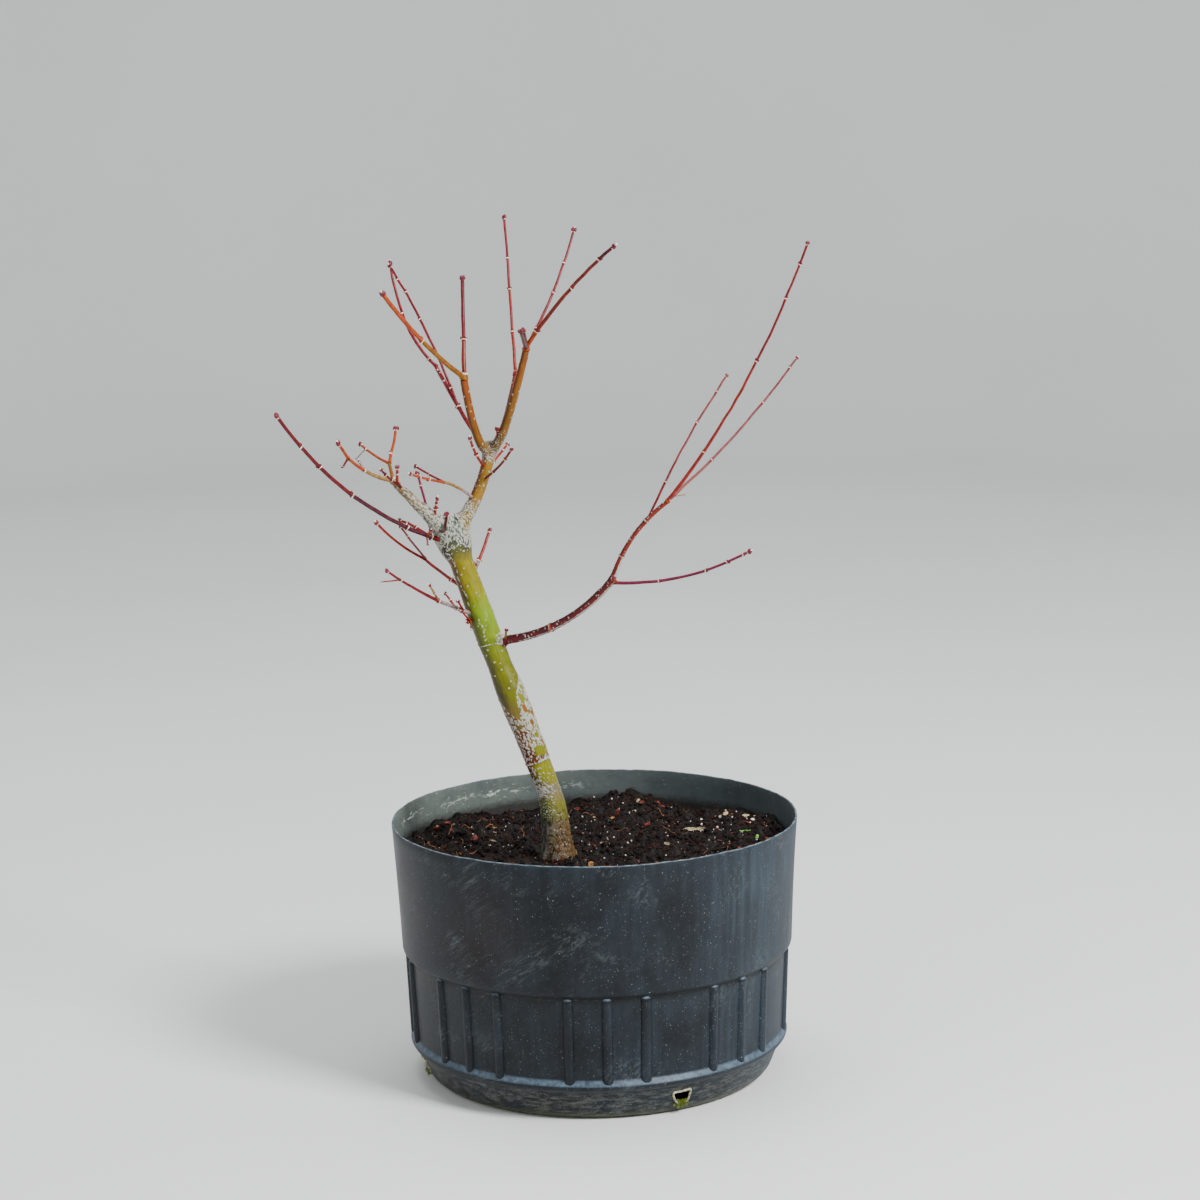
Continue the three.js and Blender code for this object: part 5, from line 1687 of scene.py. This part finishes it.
class MAPLE_OT_drain_holes(bpy.types.Operator):
    """Adds the curled lips of the drain holes and the moss that spills from them"""

    bl_idname = "maple.drain_holes"
    bl_label = "Drain holes"

    def execute(self, context):
        holes = range(len(HOLES_DEG))
        torn = plain_finish("limed_torn_edge", "6e6a58", "c2bca4", 1.6, 0.85, 0.5)
        moss = plain_finish("living_moss", "34480c", "8a9a24", 1.4, 0.7, 0)
        give(dressed(joined("drain_lips", [hole_lip(index) for index in holes]), torn), "pot_plastic")
        give(gathered("drain_moss", [moss_tufts(index) for index in holes], moss), "orange_twigs")
        return {"FINISHED"}


class MAPLE_OT_soil(bpy.types.Operator):
    """Builds the body of the soil, crumbly on top"""

    bl_idname = "maple.soil"
    bl_label = "Soil"

    def execute(self, context):
        bed = dressed(soil_bed(), moist_potting_mix(context.scene.maple_soil))
        give(bed, "potting_soil", "soil")
        return {"FINISHED"}


class MAPLE_OT_litter(bpy.types.Operator):
    """Strews crumbs, chips, grit, roots and scraps of leaf over the soil, each kind one piece"""

    bl_idname = "maple.litter"
    bl_label = "Litter"

    def execute(self, context):
        s = context.scene.maple_soil
        grains = [lump(size) for size in (0.97, 1.0, 1.03, 1.06)]
        flakes = [chip_shape(seed) for seed in range(5)]
        pieces = [
            scattered("peat_crumbs", grains, s.crumbs, (0.9, 4.6), 1,
                      plain_finish("peat_crumb", "050303", "140a06", 1.2, 0.85, 0.8, 0.2)),
            scattered("fibre_crumbs", grains, s.crumbs // 5, (1.0, 3.6), 2,
                      plain_finish("coir_crumb", "180a06", "30160d", 1.0, 0.9, 0.8, 0.2)),
            scattered("bark_chips", flakes, s.chips, (2.0, 6.8), 3,
                      plain_finish("conifer_bark_chip", "3a0e08", s.chip, 1.8, 0.6, 0.6), flat=0.45),
            scattered("tan_scraps", flakes, 90, (1.0, 3.4), 4,
                      plain_finish("dry_bark_scrap", "6c4220", "a87844", 1.5, 0.85), flat=0.35),
            scattered("grit", grains, s.grit, (0.5, 1.5), 5,
                      plain_finish("quartz_grit", "8c8678", "e0dccf", 1.0, 0.35, 0.2), sink=0.0),
            scattered("perlite", grains, 12, (1.6, 3.2), 6,
                      plain_finish("perlite_bead", "dedcd4", "f0eee8", 1.0, 0.85), sink=0.0,
                      where=lambda x, y: (x > 70) & (y > 25)),
            strands("loose_roots", *loose_roots(s.roots),
                    plain_finish("dead_root", "4e301c", "8a6040", 2.5, 0.8)),
            strands("coir_fibres", *coir_fibres(s.fibres),
                    plain_finish("coir_fibre", "1a0c07", "442110", 2.0, 0.85, 0, 0.2), sides=3),
            dressed(joined("dry_leaves", self.dry_leaves()),
                    plain_finish("dry_maple_leaf", "8a7a5c", "c4b490", 2.2, 0.8, 0.5)),
            dressed(joined("seedlings", self.seed_leaves()),
                    plain_finish("seed_leaf_green", "3f9420", "7ccc48", 2.0, 0.5)),
        ]
        for piece in pieces:
            give(piece, "potting_soil")
        return {"FINISHED"}

    def dry_leaves(self):
        found = []
        for i, (x, y, turn, length, width, tilt) in enumerate(DRY_LEAVES):
            found.append(dry_leaf(length, width, 0.7 + 0.2 * chance(i)))
            set_down(found[-1], x, y, turn, tilt, 1.6)
        return found

    def seed_leaves(self):
        """A pair of seed leaves for each seedling, one to either side of its stem."""
        found = []
        for i, (x, y, turn) in enumerate(SEEDLINGS):
            for way in (-1, 1):
                found.append(dry_leaf(3.6, 2.2, 0.35))
                found[-1].data.transform(Matrix.Translation((0.0021, 0, 0)))
                set_down(found[-1], x, y, turn + 90 + 90 * way + 15 * i, 8 * way, 2.6)
        return found


class MAPLE_OT_bark(bpy.types.Operator):
    """Builds the skin of the trunk, its fork and the boughs, with its crust, rings and cracks"""

    bl_idname = "maple.bark"
    bl_label = "Bark"

    def execute(self, context):
        s = context.scene.maple_bark
        skin = bark_mesh(s.grain)
        dress_bark(skin, s.relief)
        give(dressed(skin, maple_bark(s)), "trunk_bark", "trunk", *[bough["name"] for bough in BOUGHS])
        return {"FINISHED"}


class MAPLE_OT_twigs(bpy.types.Operator):
    """Grows the shoots of every mass, with their buds, leaf scars and pruned ends"""

    bl_idname = "maple.twigs"
    bl_label = "Twigs"

    def execute(self, context):
        s = context.scene.maple_twigs
        tints = list(TWIG_TINTS)
        finishes = [maple_shoot(tint) for tint in tints]
        finishes.append(plain_finish("ring_scar", "a88058", "f0e2c4", 0.7, 0.7))
        shoots, slots, count = [], [], 0
        buds, tips, cups, cuts = [], [], [], []
        bud, fat_bud, cup = winter_bud(1), winter_bud(1.05), turned_shape(0.42, LEAF_SCAR, 8)
        disc = turned_shape(0.12, PRUNED_FACE, 12, low=-0.1)
        for mass in MASSES.values():
            for one, line in grow_mass(LINES, mass):
                count += 1
                shares = shoot_shares(one, line)
                radii = shoot_radii(one, line, shares)
                own, rings = tube(line, shares, radii, s.sides)
                shoots.append((swayed(own, count), rings))
                rows = shoot_slots(one, line, shares, tints)
                slots += [row for row in [rows[0], *rows, rows[-1]] for _ in range(s.sides)]
                last = one["name"] != "knuckle" and not carries(mass[2], one)
                small = float(np.clip((width_at(one, 1) / 1.9) ** 1.6, 0.45, 1.15))
                for place, way, tip in bud_places(one, line, count, last):
                    grown = small / MM * (0.85 + 0.3 * chance(count + 0.31 * len(buds)))
                    shape, length, kind = (fat_bud, s.tip_bud, tips) if tip else (bud, s.bud, buds)
                    kind.append(stood(shape, length * grown, place, way, count))
                    wide, back = (1.6, 0.35) if tip else (1.7, 0.3)
                    # The leaf scars are pale in their own colour and brightened near white as a painted
                    # highlight
                    cups.append(stood(cup, wide * small, place - way * back * small, way))
                end, way = line.at(1), line.along(1)
                if last and chance(count + 0.77) > 0.45:
                    cups.append(stood(bud, 2 * small, end + way * 1.7 * small, way))
                if one["cut"]:
                    cuts.append(stood(disc, radii[-1] * 2, end, way))
        give(gathered("twigs", shoots, *finishes, slots=slots), "red_twigs", *MASSES)
        for name, parts, slot, finish in (
            ("side_buds", buds, "red_twigs", ("winter_bud_scale", "34030c", s.scale, 0.9, 0.3)),
            ("tip_buds", tips, "red_twigs", ("tip_bud_scale", "440612", "7c1024", 0.9, 0.3)),
            ("leaf_scars_and_highlights", cups, "pale_twigs", ("leaf_scar_cork_and_highlight", "d8c8a8", "fffaf0", 0.8, 0.6)),
            ("cut_ends", cuts, "pale_twigs", ("pruned_wood", "b8b0a0", "e6e2d8", 1.2, 0.85, 0.5)),
        ):
            give(gathered(name, parts, plain_finish(*finish)), slot)
        return {"FINISHED"}


class MAPLE_OT_stage(bpy.types.Operator):
    """Adds the plain floor, the soft lights and the camera"""

    bl_idname = "maple.stage"
    bl_label = "Stage"

    def execute(self, context):
        s = context.scene.maple_stage
        deselect()
        reach, sweep_radius, top = 2.9, 1.1, 2.6
        bpy.ops.mesh.primitive_circle_add(vertices=96, radius=reach, fill_type="NGON")
        floor = named("floor")
        open_all()
        bpy.ops.mesh.region_to_loop()
        rise = [(reach + sweep_radius * math.sin(t), sweep_radius - sweep_radius * math.cos(t))
                for t in np.radians(range(0, 91, 6))]
        draw_out([*rise, (reach + sweep_radius, top)])
        bpy.ops.object.mode_set(mode="OBJECT")
        dressed(floor, plain_finish("matt_card", s.floor, "e2e3e2", 900, 0.9, 0))
        self.area("key_light", (1.5, -1.35, 1.75), 0.75, s.key)
        self.area("fill_light", (-2.0, -1.3, 1.2), 1.8, s.key * 0.12)
        self.area("top_light", (-0.2, 0.6, 2.5), 1.5, s.key * 0.3)
        world = bpy.data.worlds.new("soft_studio")
        world.use_nodes = True
        sky = world.node_tree.nodes["Background"].inputs
        sky["Color"].default_value, sky["Strength"].default_value = hexed("dfe3e6"), 0.68
        context.scene.world = world
        data = bpy.data.cameras.new("camera")
        data.lens, data.sensor_width, data.sensor_height, data.sensor_fit = LENS, 36, 36, "HORIZONTAL"
        camera = placed("camera", data)
        aim = Vector(CAMERA_AIM) * MM
        down, roll = math.radians(CAMERA_DOWN_DEG), math.radians(CAMERA_ROLL_DEG)
        camera.location = aim + Vector((0, -math.cos(down), math.sin(down))) * CAMERA_DISTANCE
        turn = (aim - camera.location).to_track_quat("-Z", "Y").to_matrix()
        camera.rotation_euler = (turn @ Matrix.Rotation(roll, 3, "Z")).to_euler()
        context.scene.camera = camera
        return {"FINISHED"}

    def area(self, name, place, size, power):
        light = bpy.data.lights.new(name, "AREA")
        light.size, light.energy = size, power
        lamp = placed(name, light)
        lamp.location = place
        toward = Vector(LIT) - lamp.location
        lamp.rotation_euler = toward.to_track_quat("-Z", "Y").to_euler()


STEPS = (
    MAPLE_OT_stage, MAPLE_OT_pot, MAPLE_OT_drain_holes, MAPLE_OT_soil, MAPLE_OT_litter, MAPLE_OT_bark,
    MAPLE_OT_twigs,
)


class MAPLE_PT_panel(bpy.types.Panel):
    """Lists the pieces of the potted maple and their sizes and colours"""

    bl_idname = "MAPLE_PT_panel"
    bl_label = "Potted Japanese Maple"
    bl_space_type = "VIEW_3D"
    bl_region_type = "UI"
    bl_category = "Maple"

    def draw(self, context):
        for step in STEPS:
            self.layout.operator(step.bl_idname)
        for name, group in SETTINGS.items():
            box = self.layout.box()
            for key in group.__annotations__:
                box.prop(getattr(context.scene, name), key)


def register():
    for group in SETTINGS.values():
        bpy.utils.register_class(group)
    for name, group in SETTINGS.items():
        setattr(bpy.types.Scene, name, PointerProperty(type=group))
    for step in (*STEPS, MAPLE_PT_panel):
        bpy.utils.register_class(step)


def unregister():
    for step in (MAPLE_PT_panel, *reversed(STEPS)):
        bpy.utils.unregister_class(step)
    for name, group in SETTINGS.items():
        delattr(bpy.types.Scene, name)
        bpy.utils.unregister_class(group)


def main():
    register()
    bpy.ops.maple.stage()
    bpy.ops.maple.pot()
    bpy.ops.maple.drain_holes()
    bpy.ops.maple.soil()
    bpy.ops.maple.litter()
    bpy.ops.maple.bark()
    bpy.ops.maple.twigs()


if __name__ == "__main__":
    main()
